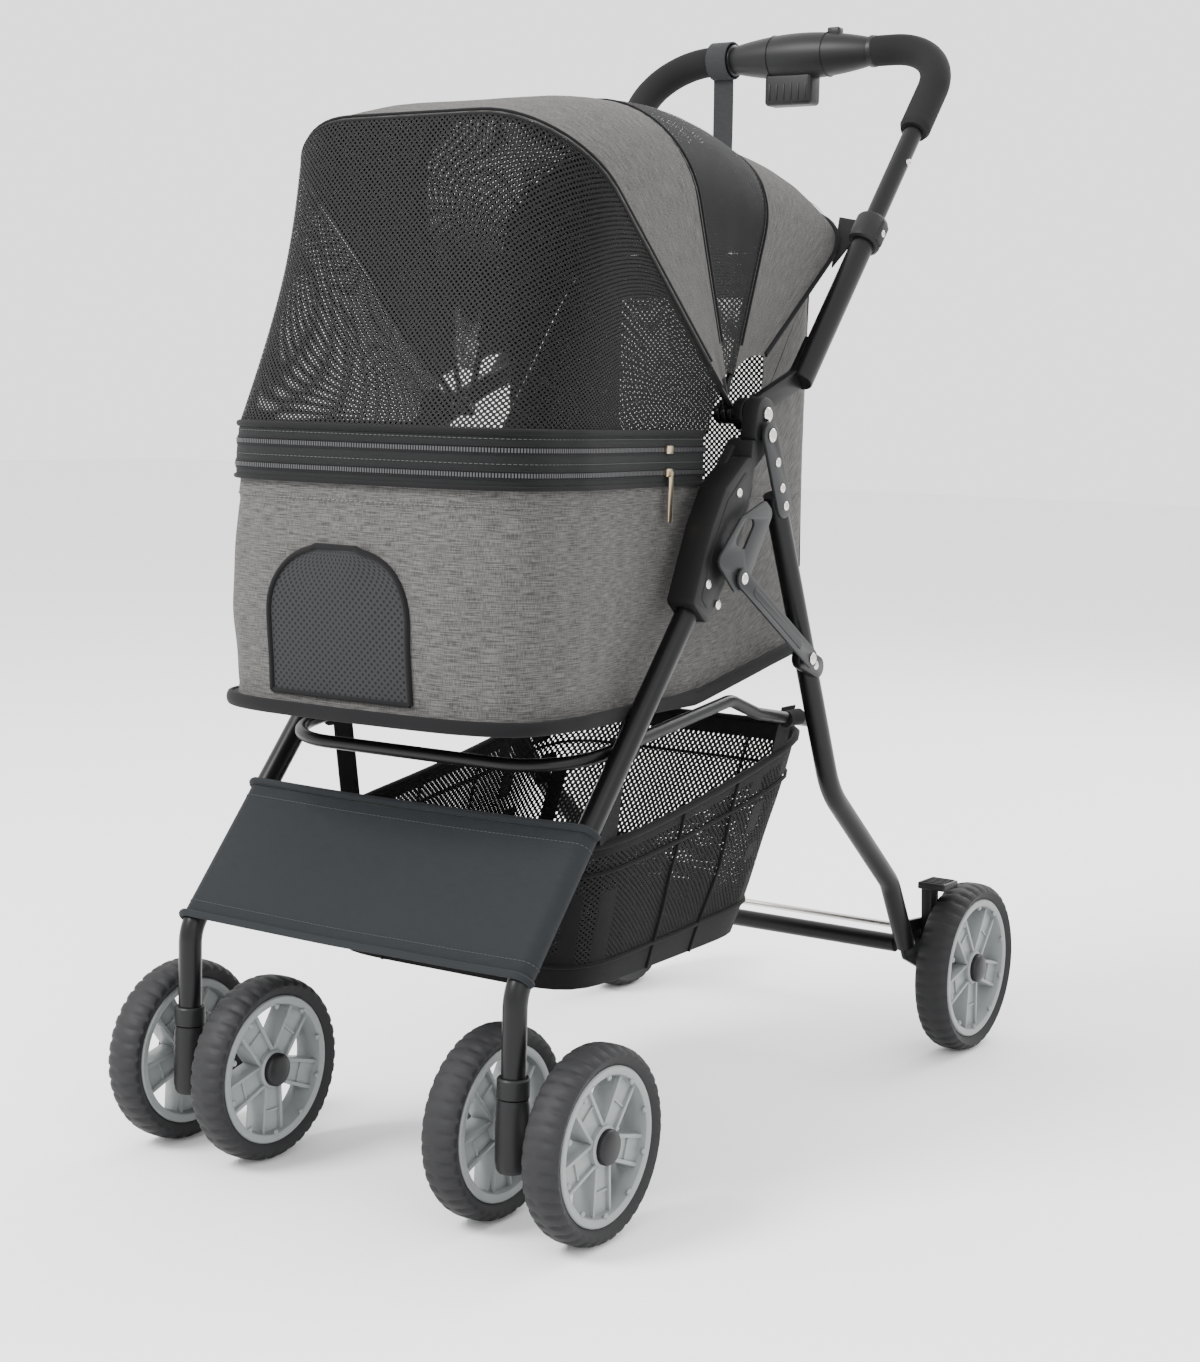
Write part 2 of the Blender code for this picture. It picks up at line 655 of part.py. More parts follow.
def lower_handle(name, side):
    """The lower tube with the flat knuckle at its foot that turns on the fold pin."""
    start, end = at_handle(side, 0.0), at_handle(side, LOWER_TUBE_LENGTH)
    shell = hollow_tube("lower_handle_" + name, [start, end], LOWER_TUBE_R, LOWER_TUBE_WALL, BLACK_PAINT)
    knee = on_handle(0.004)
    flat = bent([(*FOLD_PIVOT, 0), (*knee, 0), (*on_handle(0.045), 0)], (0.03,), 5)
    half, outline = 0.0088, []
    for sign in (1, -1):
        path = flat if sign == 1 else list(reversed(flat))
        for i, point in enumerate(path):
            a, b = path[max(0, i - 1)], path[min(len(path) - 1, i + 1)]
            along = (b - a).normalized()
            outline.append((point.x + along.y * half, point.y - along.x * half))
    eye = side_plate("eye", side, KNUCKLE_IN, KNUCKLE_OUT, circle(FOLD_PIVOT, EYE_R - 0.001, 20), None)
    join(shell, side_plate("knuckle", side, KNUCKLE_IN + 0.0007, KNUCKLE_OUT - 0.0006, outline, None))
    join(shell, eye)
    bore = across(side, KNUCKLE_IN - 0.005, KNUCKLE_OUT + 0.005, FOLD_PIVOT, PIN_R + 0.0005)
    cut(shell, bore)


def handle_clamp(name, side):
    """A collar round the end of the lower tube, flat on the inner side where it passes the cabin's rim."""
    ends = [at_handle(side, LOWER_TUBE_LENGTH - CLAMP_LENGTH * 0.6), at_handle(side, LOWER_TUBE_LENGTH + CLAMP_LENGTH * 0.4)]
    collar = hollow_tube("handle_clamp_" + name, ends, CLAMP_R, CLAMP_R - LOWER_TUBE_R - FIT_GAP, BLACK_PLASTIC)
    flat = HANDLE_X - LOWER_TUBE_R
    cut(collar, across(side, flat - 0.020, flat, on_handle(LOWER_TUBE_LENGTH), 0.050))


def handle_path():
    corner = bar_centre()
    return bent(
        [
            at_handle(-1, UPPER_TUBE_START), (-HANDLE_X, *corner), (HANDLE_X, *corner),
            at_handle(1, UPPER_TUBE_START),
        ],
        (HANDLE_CORNER_R, HANDLE_CORNER_R), 6,
    )


def bar_centre():
    return on_handle(HANDLE_REACH)


def upper_handle():
    """The upper bar, one bent tube, with a hole on each side for its snap button."""
    bar = as_mesh(tube("upper_handle", handle_path(), UPPER_TUBE_R, BLACK_PAINT, sides=2))
    for name, side in SIDES:
        at = on_handle(SNAP_BUTTON_AT)
        cut(bar, across(side, HANDLE_X + 0.0004, HANDLE_X + 0.02, at, SNAP_BUTTON_R + 0.0004))
        outer = HANDLE_X + UPPER_TUBE_R + SNAP_BUTTON_TRAVEL
        rod(
            "snap_button_" + name, (side * (HANDLE_X + 0.0034), *at), (side * outer, *at), SNAP_BUTTON_R, BRIGHT_STEEL, 12
        )


def foam_grip(name, side):
    """Foam that follows the bar round its corner, from the rake to the release housing."""
    corner = [point for point in handle_path()[1:-1] if point.x * side > 0]
    rake_end = Vector(at_handle(side, GRIP_START))
    bar_end = Vector((side * GRIP_INNER_X, *bar_centre()))
    line = [bar_end, *corner, rake_end] if side == 1 else [rake_end, *corner, bar_end]
    hollow_tube("foam_grip_" + name, line, GRIP_R, GRIP_R - UPPER_TUBE_R - 2.5 * FIT_GAP, FOAM)


def release_housing():
    """The lens-shaped fold release round the middle of the bar, with room for its trigger and slider."""
    bore, half = UPPER_TUBE_R + FIT_GAP + 0.0002, RELEASE_HALF_LENGTH
    profile = [
        (bore, half), (RELEASE_END_R, half), (RELEASE_END_R + 0.006, half * 0.66), (RELEASE_R, half * 0.26),
        (RELEASE_R, -half * 0.26), (RELEASE_END_R + 0.006, -half * 0.66), (RELEASE_END_R, -half), (bore, -half),
    ]
    y, z = bar_centre()
    body = as_mesh(turned("release_housing", profile, (0, y, z), BLACK_PLASTIC))
    gap = 0.0015
    low = (TRIGGER_X[0] - gap, y - TRIGGER_DEPTH / 2 - gap, z - 0.040)
    high = (TRIGGER_X[1] + gap, y + TRIGGER_DEPTH / 2 + gap, z - UPPER_TUBE_R - 0.0014)
    cut(body, box("trigger_room", low, high, None))
    low = (SLIDER_X[0] - gap, y - 0.0058, z + RELEASE_R * 0.72)
    high = (SLIDER_X[1] + SLIDER_TRAVEL + gap, y + 0.0058, z + 0.040)
    cut(body, box("slider_room", low, high, None))
    top = z - UPPER_TUBE_R - 0.0024 - TRIGGER_TRAVEL
    low = (TRIGGER_X[0], y - TRIGGER_DEPTH / 2, top - TRIGGER_HEIGHT)
    box("fold_trigger", low, (TRIGGER_X[1], y + TRIGGER_DEPTH / 2, top), BLACK_PLASTIC, 0.003)
    low = (SLIDER_X[0], y - 0.0050, z + RELEASE_R * 0.72 + 0.0006)
    box("safety_slider", low, (SLIDER_X[1], y + 0.0050, z + RELEASE_R + 0.0030), BLACK_PLASTIC, 0.0010)


def wrist_strap():
    """A flat strap looped round the left grip, with its tail hanging straight down."""
    y, z = bar_centre()
    loop = circle((y, z), GRIP_R + 0.0008 + STRAP_THICK, 24)
    hole = [circle((y, z), GRIP_R + 0.0008, 24)]
    inner, outer = -STRAP_X[1], -STRAP_X[0]
    strap = side_plate("wrist_strap", -1, inner, outer, loop, SLATE_CLOTH, hole)
    low = (-outer, y - STRAP_THICK / 2, z - GRIP_R - STRAP_LENGTH)
    join(strap, box("tail", low, (-inner, y + STRAP_THICK / 2, z - GRIP_R - 0.0014), None))


# ---------------------------------------------------------------- cabin

def half_outline(grow, per_span=2):
    """The right half of the cabin's outline, from the back to the front, grown outwards."""
    loop = cabin_loop(grow, per_span)
    return [(0.0 if i in (0, per_span * 11) else x, y) for i, (x, y) in enumerate(loop[: per_span * 11 + 1])]


def board(name, grow, low, high, finish):
    """A board with the cabin's outline: low and high give its faces' heights at each y."""
    mesh = bmesh.new()
    half = half_outline(grow)
    rows = []
    for x, y in half:
        spread = (x,) if abs(x) < 1e-6 else (-x, x)
        rows.append([[mesh.verts.new((at, y, height(y))) for at in spread] for height in (low, high)])
    for (low_a, high_a), (low_b, high_b) in zip(rows, rows[1:]):
        mesh.faces.new(dict.fromkeys([high_a[0], high_a[-1], high_b[-1], high_b[0]]))
        mesh.faces.new(dict.fromkeys([low_a[0], low_b[0], low_b[-1], low_a[-1]]))
        for end in (0, -1):
            mesh.faces.new((low_a[end], high_a[end], high_b[end], low_b[end]))
    bmesh.ops.recalc_face_normals(mesh, faces=mesh.faces)
    bmesh.ops.triangulate(mesh, faces=mesh.faces)
    return from_bmesh(mesh, name, finish)


def floor_board():
    board("floor_board", 0.0, lambda y: base_top(y) - BASE_THICK, base_top, BLACK_CLOTH)
    low = FIT_GAP * 2
    board("floor_mat", -MAT_INSET, lambda y: base_top(y) + low, lambda y: base_top(y) + MAT_THICK, GREY_CLOTH)


def wall_top(y):
    rise = min(1.0, max(0.0, (y - REAR_RISE_Y) / (0.120 - REAR_RISE_Y)))
    return WALL_TOP + (REAR_WALL_TOP - WALL_TOP) * rise


def cabin_walls():
    loop = cabin_loop(-WALL_INSET)
    rows = [[(x, y, base_top(y) + 2 * FIT_GAP) for x, y in loop], [(x, y, wall_top(y)) for x, y in loop]]
    sheet("cabin_walls", rows, WALL, GREY_CLOTH, closed=True)


def front_part(grow, rear_y):
    """The cabin's outline round the front only, from the left side to the right."""
    half = [(x, y) for x, y in half_outline(grow) if y < rear_y]
    return [(-x, y) for x, y in half] + [(x, y) for x, y in reversed(half[:-1])]


def zip_band():
    path = front_part(-WALL_INSET, BAND_REAR_Y)
    rows = [[(x, y, z) for x, y in path] for z in (BAND_BOTTOM, BAND_TOP)]
    sheet("zip_band", rows, WALL, BLACK_CLOTH)


def rim_hoop():
    """The hoop that holds the front of the cabin open, inside its rim."""
    path = front_part(-WALL_INSET - WALL - HOOP_INSET, BAND_REAR_Y)
    tube("front_rim_hoop", [(x, y, HOOP_Z) for x, y in path], HOOP_R, BLACK_PAINT, sides=1)


# ---------------------------------------------------------------- canopy

def canopy_bow(name, bow):
    angle, reach, half = bow
    tube_piece = as_mesh(tube(name, arch(angle, reach, half, BOW_FOOT), BOW_R, BLACK_PAINT, sides=1))
    for _, side in SIDES:
        hole = [circle(FOLD_PIVOT, PIN_R + 0.0006, 16)]
        eye = circle(FOLD_PIVOT, BOW_FOOT + 0.0015, 16)
        join(tube_piece, side_plate("eye", side, half - BOW_R * 0.86, half + BOW_R * 0.86, eye, None, hole))


def canopy_sheet(name, curves, finish, columns=17):
    sheet(name, [resampled(curve, columns) for curve in curves], CLOTH, finish, offset=-1)


def canopy():
    lift = BOW_R + 0.0014
    for name, bow in (("front", BOW_FRONT), ("middle", BOW_MID), ("rear", BOW_REAR)):
        canopy_bow("canopy_bow_" + name, bow)
    gap = 0.6
    front, middle, rear = (
        lambda turn, bow=bow: arch(bow[0] + turn, bow[1], bow[2], CANOPY_FOOT, lift + CLOTH)
        for bow in (BOW_FRONT, BOW_MID, BOW_REAR)
    )
    rows = [front(-gap), arch(124.5, 0.292, 0.1415, CANOPY_FOOT, lift + CLOTH), middle(gap)]
    canopy_sheet("canopy_front_panel", rows, GREY_CLOTH)
    rows = [middle(-gap), arch(90, 0.243, 0.1355, CANOPY_FOOT, lift + CLOTH), rear(gap)]
    canopy_sheet("canopy_sky_mesh", rows, BLACK_MESH)
    rows = [rear(-gap), arch(54, 0.266, 0.1325, CANOPY_FOOT + 0.02, lift), arch(38, 0.302, 0.1325, 0.08, lift)]
    canopy_sheet("canopy_rear_panel", rows, GREY_CLOTH)
    hem = [(x, y, BAND_TOP + 0.0015) for x, y in front_part(-WALL_INSET, BAND_REAR_Y)]
    upper = front(gap)
    low, high = resampled(hem, 21), resampled(upper, 21)
    between = [a.lerp(b, 0.5) + Vector((0, -0.012, 0)) for a, b in zip(low, high)]
    sheet("canopy_front_mesh", [low, between, high], CLOTH, BLACK_MESH, offset=-1)


# ---------------------------------------------------------------- basket and foot panel

def basket():
    """A cloth bin with an open top, narrower at its floor."""
    def ring(y_front, z_front, y_rear, z_rear, half):
        y_mid, z_mid = (y_front + y_rear) / 2, (z_front + z_rear) / 2
        corners = [(half, y_rear), (half, y_mid), (half, y_front), (0, y_front), (-half, y_front), (-half, y_mid), (-half, y_rear), (0, y_rear)]
        return [(x, y, z_front + (z_rear - z_front) * (y - y_front) / (y_rear - y_front)) for x, y in corners]

    y_front, z_front, y_rear, z_rear = BASKET_FLOOR
    low = ring(y_front, z_front, y_rear, z_rear, BASKET_HALF - 0.010)
    high = ring(*BASKET_RIM, BASKET_HALF)
    middle = [tuple((a + b) / 2 for a, b in zip(p, q)) for p, q in zip(low, high)]
    sheet("basket", [low, middle, high], 0.0025, BLACK_CLOTH, closed=True, floor=True)


def basket_support():
    """The hoop that the basket hangs from, inside the legs."""
    x, z = BASKET_HOOP_X, BASKET_HOOP_Z
    rear = (0.098, z - 0.027)
    points = [
        (-x, *rear), (-x, -0.003, z - 0.010), (-x, -0.050, z + 0.006), (-x, -0.300, z - 0.026),
        (x, -0.300, z - 0.026), (x, -0.050, z + 0.006), (x, -0.003, z - 0.010), (x, *rear),
    ]
    tube("basket_hoop", bent(points, (0.03, 0.03, 0.06, 0.06, 0.03, 0.03)), BASKET_HOOP_R, BLACK_PAINT, sides=1)


def foot_panel():
    """The slate cloth panel stretched over the front of both legs."""
    slope = (LEG_TOP[0] - LEG_BEND[0]) / (LEG_TOP[1] - LEG_BEND[1])
    out = Vector((-1.0, slope)).normalized()
    edge = []
    for z in (PANEL_BOTTOM, PANEL_TOP):
        centre = Vector((LEG_BEND[0] + (z - LEG_BEND[1]) * slope, z))
        near, far = centre + out * (LEG_TUBE_R + FIT_GAP), centre + out * (LEG_TUBE_R + FIT_GAP + 0.0025)
        edge.append((near, far))
    outline = [edge[0][0], edge[1][0], edge[1][1], edge[0][1]]
    side_plate("foot_panel", 1, -PANEL_HALF, PANEL_HALF, [tuple(p) for p in outline], SLATE_CLOTH)


clear_scene()
front_leg_frame()
wheels()
for side_name, side_sign in SIDES:
    caster_fork(side_name, side_sign)
    hinge_housing(side_name, side_sign)
    hook_plate(side_name, side_sign)
    link_bar(side_name, side_sign)
    rear_leg(side_name, side_sign)
    rear_leg_plate(side_name, side_sign)
    lower_handle(side_name, side_sign)
    handle_clamp(side_name, side_sign)
    foam_grip(side_name, side_sign)
rear_cross_bar()
brake()
upper_handle()
release_housing()
wrist_strap()
floor_board()
cabin_walls()
zip_band()
rim_hoop()
canopy()
basket()
basket_support()
foot_panel()
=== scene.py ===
import math

import bmesh
import bpy
from bpy.props import FloatProperty, FloatVectorProperty, IntProperty, PointerProperty
from bpy.types import Operator, Panel, PropertyGroup
from mathutils import Matrix, Vector, noise


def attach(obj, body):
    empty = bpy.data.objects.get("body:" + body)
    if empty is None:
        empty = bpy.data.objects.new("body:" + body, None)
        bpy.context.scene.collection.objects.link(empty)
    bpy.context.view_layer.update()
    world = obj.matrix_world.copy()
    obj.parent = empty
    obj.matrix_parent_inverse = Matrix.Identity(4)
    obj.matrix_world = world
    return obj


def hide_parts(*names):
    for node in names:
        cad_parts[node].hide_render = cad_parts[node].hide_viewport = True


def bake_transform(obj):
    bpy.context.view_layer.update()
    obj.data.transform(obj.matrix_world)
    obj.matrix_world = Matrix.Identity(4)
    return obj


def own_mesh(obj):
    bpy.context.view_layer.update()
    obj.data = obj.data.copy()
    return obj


bl_info = {
    "name": "Pet stroller",
    "version": (1, 0, 0),
    "blender": (4, 5, 0),
    "location": "3D View > Sidebar > Pet stroller",
    "description": "Builds a folding pet stroller with a cloth cabin, mesh canopy, casters and push handle",
    "category": "Object",
}

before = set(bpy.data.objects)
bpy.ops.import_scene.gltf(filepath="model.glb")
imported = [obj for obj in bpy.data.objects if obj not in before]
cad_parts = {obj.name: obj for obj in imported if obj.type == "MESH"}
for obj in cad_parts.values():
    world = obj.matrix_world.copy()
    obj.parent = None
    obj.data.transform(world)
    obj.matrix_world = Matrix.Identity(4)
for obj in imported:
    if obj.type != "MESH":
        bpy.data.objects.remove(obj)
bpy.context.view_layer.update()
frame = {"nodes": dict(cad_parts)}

SIDES = (("left", -1), ("right", 1))

# Places that everything fits to, in metres
FOLD_PIVOT = (-0.055, 0.620)
REAR_PIVOT = (-0.057, 0.603)
HOOK_PIVOT = (-0.108, 0.487)
LINK_PIVOT = (0.014, 0.412)
CASTER_X, CASTER_Y, CASTER_TOP = 0.163, -0.379, 0.112
FRONT_AXLE = (-0.339, 0.076)
REAR_AXLE = (0.3325, 0.0825)
BRAKE_PIVOT = (0.300, 0.120)
LEG_BEND, LEG_TOP = (-0.379, 0.193), (-0.1525, 0.4585)
REAR_LEG_X = 0.170
REAR_ROUTE = ((-0.027, 0.553), (0.094, 0.284), (0.222, 0.180), (0.262, 0.112))
HANDLE_X, HANDLE_RAKE, HANDLE_FOOT, HANDLE_REACH = 0.1603, math.radians(49.5), (0.030, 0.648), 0.421
BOWS = {"front": (139.0, 0.335, 0.1445), "middle": (110.0, 0.262, 0.1385), "rear": (70.0, 0.243, 0.1325)}
LEG_R, UPPER_BAR_R, UPPER_BAR_FROM = 0.0095, 0.0088, 0.092
TWIN_REACH = 0.046  # from a caster's middle to each of its wheels
FRONT_WHEEL_R, FRONT_WHEEL_WIDTH = 0.076, 0.032
REAR_WHEEL_R, REAR_WHEEL_WIDTH, REAR_WHEEL_X = 0.0825, 0.034, 0.2013
BASE_HEIGHT, RIM_HEIGHT, BACK_RISE = 0.388, 0.565, 0.200
WALL_LOW = 0.3845  # lower edge of the front wall
WALL_INSET = 0.0085  # from the cabin's outline in to the wall's cloth
HOOP_HEIGHT, HOOP_INSET, HOOP_END = 0.556, 0.0146, -0.085
BAND_LOW, BAND_HIGH = 0.5555, 0.6030
MESH_HEM = 0.6055  # height of the front mesh's lower edge
STRAP_LEFT, STRAP_WIDTH, STRAP_DROP, STRAP_LOOP_R = -0.100, 0.022, 0.198, 0.017
WALL_CLOTH, CANOPY_CLOTH, MESH_CLOTH, TAPE, WEBBING = 0.0016, 0.0009, 0.0007, 0.0012, 0.0014
CABIN_HALF = (
    (0.000, 0.136), (0.100, 0.134), (0.132, 0.104), (0.1385, 0.020), (0.1425, -0.080), (0.1450, -0.160),
    (0.1500, -0.214), (0.1560, -0.262), (0.1570, -0.300), (0.1450, -0.352), (0.1000, -0.376), (0.000, -0.382),
)


# ---------------------------------------------------------------- settings

class StrollerColours(PropertyGroup):
    cloth: FloatVectorProperty(
        name="Cabin cloth", description="Colour of the heather cloth on the cabin and canopy",
        subtype="COLOR", size=3, min=0, max=1, default=(0.062, 0.060, 0.057))
    foot_cloth: FloatVectorProperty(
        name="Foot panel", description="Colour of the foot panel's cloth",
        subtype="COLOR", size=3, min=0, max=1, default=(0.011, 0.013, 0.015))
    frame: FloatVectorProperty(
        name="Frame", description="Colour of the painted tubes",
        subtype="COLOR", size=3, min=0, max=1, default=(0.003, 0.003, 0.0035))
    rim: FloatVectorProperty(
        name="Wheel rims", description="Colour of the moulded rims",
        subtype="COLOR", size=3, min=0, max=1, default=(0.190, 0.204, 0.204))


class StrollerSizes(PropertyGroup):
    weave: FloatProperty(
        name="Weave", description="Distance between the threads of the heather cloth",
        subtype="DISTANCE", unit="LENGTH", min=0.0003, max=0.01, default=0.0011)
    mesh_hole: FloatProperty(
        name="Mesh hole", description="Distance between the holes of the mesh windows",
        subtype="DISTANCE", unit="LENGTH", min=0.0005, max=0.01, default=0.0034)
    wrinkle: FloatProperty(
        name="Folds", description="Height of the soft folds in the cloth",
        subtype="DISTANCE", unit="LENGTH", min=0.0, max=0.01, default=0.0044)
    tread: IntProperty(
        name="Tread blocks", description="Number of moulded notches round each tyre's shoulder",
        min=8, max=96, default=40)


def settings():
    return bpy.context.scene.stroller_colours, bpy.context.scene.stroller_sizes


# ---------------------------------------------------------------- shader groups

def socket(tree, name, kind, way="INPUT", value=None):
    made = tree.interface.new_socket(name=name, in_out=way, socket_type=kind)
    if value is not None:
        made.default_value = value
    return made


def math_node(tree, operation, first, second=None):
    node = tree.nodes.new("ShaderNodeMath")
    node.operation = operation
    for slot, value in zip(node.inputs, (first, second)):
        if isinstance(value, (int, float)):
            slot.default_value = value
        elif value is not None:
            tree.links.new(value, slot)
    return node.outputs[0]


def noise_node(tree, vector, scale, detail=2.0):
    node = tree.nodes.new("ShaderNodeTexNoise")
    tree.links.new(vector, node.inputs["Vector"])
    if isinstance(scale, (int, float)):
        node.inputs["Scale"].default_value = scale
    else:
        tree.links.new(scale, node.inputs["Scale"])
    node.inputs["Detail"].default_value = detail
    return node.outputs["Fac"]


def mix_colour(tree, factor, first, second):
    node = tree.nodes.new("ShaderNodeMix")
    node.data_type = "RGBA"
    for name, value in (("Factor_Float", factor), ("A_Color", first), ("B_Color", second)):
        slot = next(s for s in node.inputs if s.identifier == name)
        if isinstance(value, (tuple, float, int)):
            slot.default_value = value
        else:
            tree.links.new(value, slot)
    return next(s for s in node.outputs if s.identifier == "Result_Color")


def bump(tree, height, strength, distance):
    node = tree.nodes.new("ShaderNodeBump")
    node.inputs["Strength"].default_value = strength
    node.inputs["Distance"].default_value = distance
    tree.links.new(height, node.inputs["Height"])
    return node.outputs["Normal"]


def group(name):
    tree = bpy.data.node_groups.new(name, "ShaderNodeTree")
    return tree, tree.nodes.new("NodeGroupInput"), tree.nodes.new("NodeGroupOutput")


def thread_pair(tree, vector, pitch):
    """Height waves across the warp and the weft of a cloth, from its own flat coordinates."""
    split = tree.nodes.new("ShaderNodeSeparateXYZ")
    tree.links.new(vector, split.inputs[0])
    waves = []
    for axis in (0, 1):
        turns = math_node(tree, "DIVIDE", split.outputs[axis], pitch)
        waves.append(math_node(tree, "SINE", math_node(tree, "MULTIPLY", turns, 2 * math.pi)))
    return waves


def cloth_group():
    """Woven cloth with uneven slub threads: gives a colour and a normal."""
    tree, ins, outs = group("Woven cloth")
    socket(tree, "Colour", "NodeSocketColor")
    socket(tree, "Pitch", "NodeSocketFloat", value=0.0011)
    socket(tree, "Heather", "NodeSocketFloat", value=0.6)
    socket(tree, "Colour", "NodeSocketColor", "OUTPUT")
    socket(tree, "Normal", "NodeSocketVector", "OUTPUT")
    uv = tree.nodes.new("ShaderNodeUVMap").outputs[0]
    warp, weft = thread_pair(tree, uv, ins.outputs["Pitch"])
    height = math_node(tree, "MULTIPLY", warp, weft)
    streaks = []
    for stretch in ((130.0, 2600.0, 1.0), (2600.0, 340.0, 1.0)):
        place = tree.nodes.new("ShaderNodeVectorMath")
        place.operation = "MULTIPLY"
        place.inputs[1].default_value = stretch
        tree.links.new(uv, place.inputs[0])
        streaks.append(noise_node(tree, place.outputs[0], 0.5, 1.0))
    shares = [math_node(tree, "MULTIPLY", streak, share) for streak, share in zip(streaks, (0.62, 0.38))]
    slub = math_node(tree, "ADD", *shares)
    spread = tree.nodes.new("ShaderNodeMapRange")
    tree.links.new(slub, spread.inputs["Value"])
    spread.inputs["From Min"].default_value = 0.38
    spread.inputs["From Max"].default_value = 0.62
    spread.inputs["To Min"].default_value = -0.75
    spread.inputs["To Max"].default_value = 1.0
    lift = math_node(tree, "MULTIPLY", spread.outputs[0], ins.outputs["Heather"])
    gain = math_node(tree, "ADD", lift, 1.0)
    scale = tree.nodes.new("ShaderNodeVectorMath")
    scale.operation = "SCALE"
    tree.links.new(ins.outputs["Colour"], scale.inputs[0])
    tree.links.new(gain, scale.inputs["Scale"])
    tree.links.new(scale.outputs[0], outs.inputs["Colour"])
    total = math_node(tree, "ADD", height, math_node(tree, "MULTIPLY", slub, 1.5))
    tree.links.new(bump(tree, total, 0.55, 0.00022), outs.inputs["Normal"])
    return tree


def mesh_group():
    """Knitted mesh: a mask that is 1 on the threads and 0 in the holes, and a normal."""
    tree, ins, outs = group("Knitted mesh")
    socket(tree, "Pitch", "NodeSocketFloat", value=0.0019)
    socket(tree, "Cover", "NodeSocketFloat", value=0.1)
    socket(tree, "Mask", "NodeSocketFloat", "OUTPUT")
    socket(tree, "Normal", "NodeSocketVector", "OUTPUT")
    uv = tree.nodes.new("ShaderNodeUVMap").outputs[0]
    turn = tree.nodes.new("ShaderNodeVectorRotate")
    turn.rotation_type = "Z_AXIS"
    turn.inputs["Angle"].default_value = math.radians(45)
    tree.links.new(uv, turn.inputs["Vector"])
    across, along = thread_pair(tree, turn.outputs[0], ins.outputs["Pitch"])
    hole = math_node(tree, "ADD", across, along)
    edge = tree.nodes.new("ShaderNodeMapRange")
    bare = math_node(tree, "SUBTRACT", hole, ins.outputs["Cover"])
    tree.links.new(bare, edge.inputs["Value"])
    edge.inputs["From Min"].default_value = 0.0
    edge.inputs["From Max"].default_value = 0.35
    edge.inputs["To Min"].default_value = 1.0
    edge.inputs["To Max"].default_value = 0.0
    tree.links.new(edge.outputs[0], outs.inputs["Mask"])
    tree.links.new(bump(tree, edge.outputs[0], 0.4, 0.0002), outs.inputs["Normal"])
    return tree


def grain_group():
    """Fine moulded or sprayed grain: a roughness shift and a normal."""
    tree, ins, outs = group("Fine grain")
    socket(tree, "Scale", "NodeSocketFloat", value=900.0)
    socket(tree, "Depth", "NodeSocketFloat", value=1.0)
    socket(tree, "Mask", "NodeSocketFloat", "OUTPUT")
    socket(tree, "Normal", "NodeSocketVector", "OUTPUT")
    place = tree.nodes.new("ShaderNodeTexCoord").outputs["Object"]
    fine = noise_node(tree, place, ins.outputs["Scale"], 3.0)
    patches = noise_node(tree, place, 14.0, 2.0)
    node = tree.nodes.new("ShaderNodeBump")
    node.inputs["Distance"].default_value = 0.00012
    tree.links.new(ins.outputs["Depth"], node.inputs["Strength"])
    tree.links.new(fine, node.inputs["Height"])
    tree.links.new(patches, outs.inputs["Mask"])
    tree.links.new(node.outputs["Normal"], outs.inputs["Normal"])
    return tree


GROUPS, FINISHES = {}, {}


def shader_group(name, build):
    if name not in GROUPS:
        GROUPS[name] = build()
    return GROUPS[name]


def material(name, roughness, colour=None, metallic=0.0, sheen=0.0):
    made = bpy.data.materials.new(name)
    made.use_nodes = True
    shader = made.node_tree.nodes["Principled BSDF"]
    shader.inputs["Roughness"].default_value = roughness
    shader.inputs["Metallic"].default_value = metallic
    shader.inputs["Sheen Weight"].default_value = sheen
    shader.inputs["Sheen Roughness"].default_value = 0.5
    if colour:
        shader.inputs["Base Color"].default_value = (*colour, 1.0)
    return made, made.node_tree, shader


def use(tree, source, **values):
    node = tree.nodes.new("ShaderNodeGroup")
    node.node_tree = source
    for name, value in values.items():
        node.inputs[name].default_value = value
    return node


def cloth_finish(name, colour, pitch, heather, sheen=0.04):
    made, tree, shader = material(name, 0.92, sheen=sheen)
    shader.inputs["Specular IOR Level"].default_value = 0.2
    node = use(tree, shader_group("cloth", cloth_group), Colour=(*colour, 1.0), Pitch=pitch, Heather=heather)
    tree.links.new(node.outputs["Colour"], shader.inputs["Base Color"])
    tree.links.new(node.outputs["Normal"], shader.inputs["Normal"])
    return made


def mesh_finish(name, colour, pitch, cover, floor=0.0):
    made, tree, shader = material(name, 0.75, colour)
    shader.inputs["Specular IOR Level"].default_value = 0.2
    node = use(tree, shader_group("mesh", mesh_group), Pitch=pitch, Cover=cover)
    tree.links.new(node.outputs["Normal"], shader.inputs["Normal"])
    # A floor of 1 makes the mesh opaque and colours its holes near-black: painted shade standing in for the
    # shaded inside of the cabin seen through the holes.
    if floor == 1.0:
        painted_hole_shade = mix_colour(tree, node.outputs["Mask"], (0.003, 0.003, 0.003, 1.0), (*colour, 1.0))
        tree.links.new(painted_hole_shade, shader.inputs["Base Color"])
        return made
    alpha = math_node(tree, "MAXIMUM", node.outputs["Mask"], floor)
    tree.links.new(alpha, shader.inputs["Alpha"])
    return made


def grain_finish(name, colour, roughness, scale, depth, metallic=0.0, spread=0.12):
    made, tree, shader = material(name, roughness, colour, metallic)
    shader.inputs["Specular IOR Level"].default_value = 0.5 if max(colour) > 0.1 else 0.22
    node = use(tree, shader_group("grain", grain_group), Scale=scale, Depth=depth)
    shift = math_node(tree, "MULTIPLY", math_node(tree, "SUBTRACT", node.outputs["Mask"], 0.5), spread * 2)
    tree.links.new(math_node(tree, "ADD", shift, roughness), shader.inputs["Roughness"])
    tree.links.new(node.outputs["Normal"], shader.inputs["Normal"])
    return made


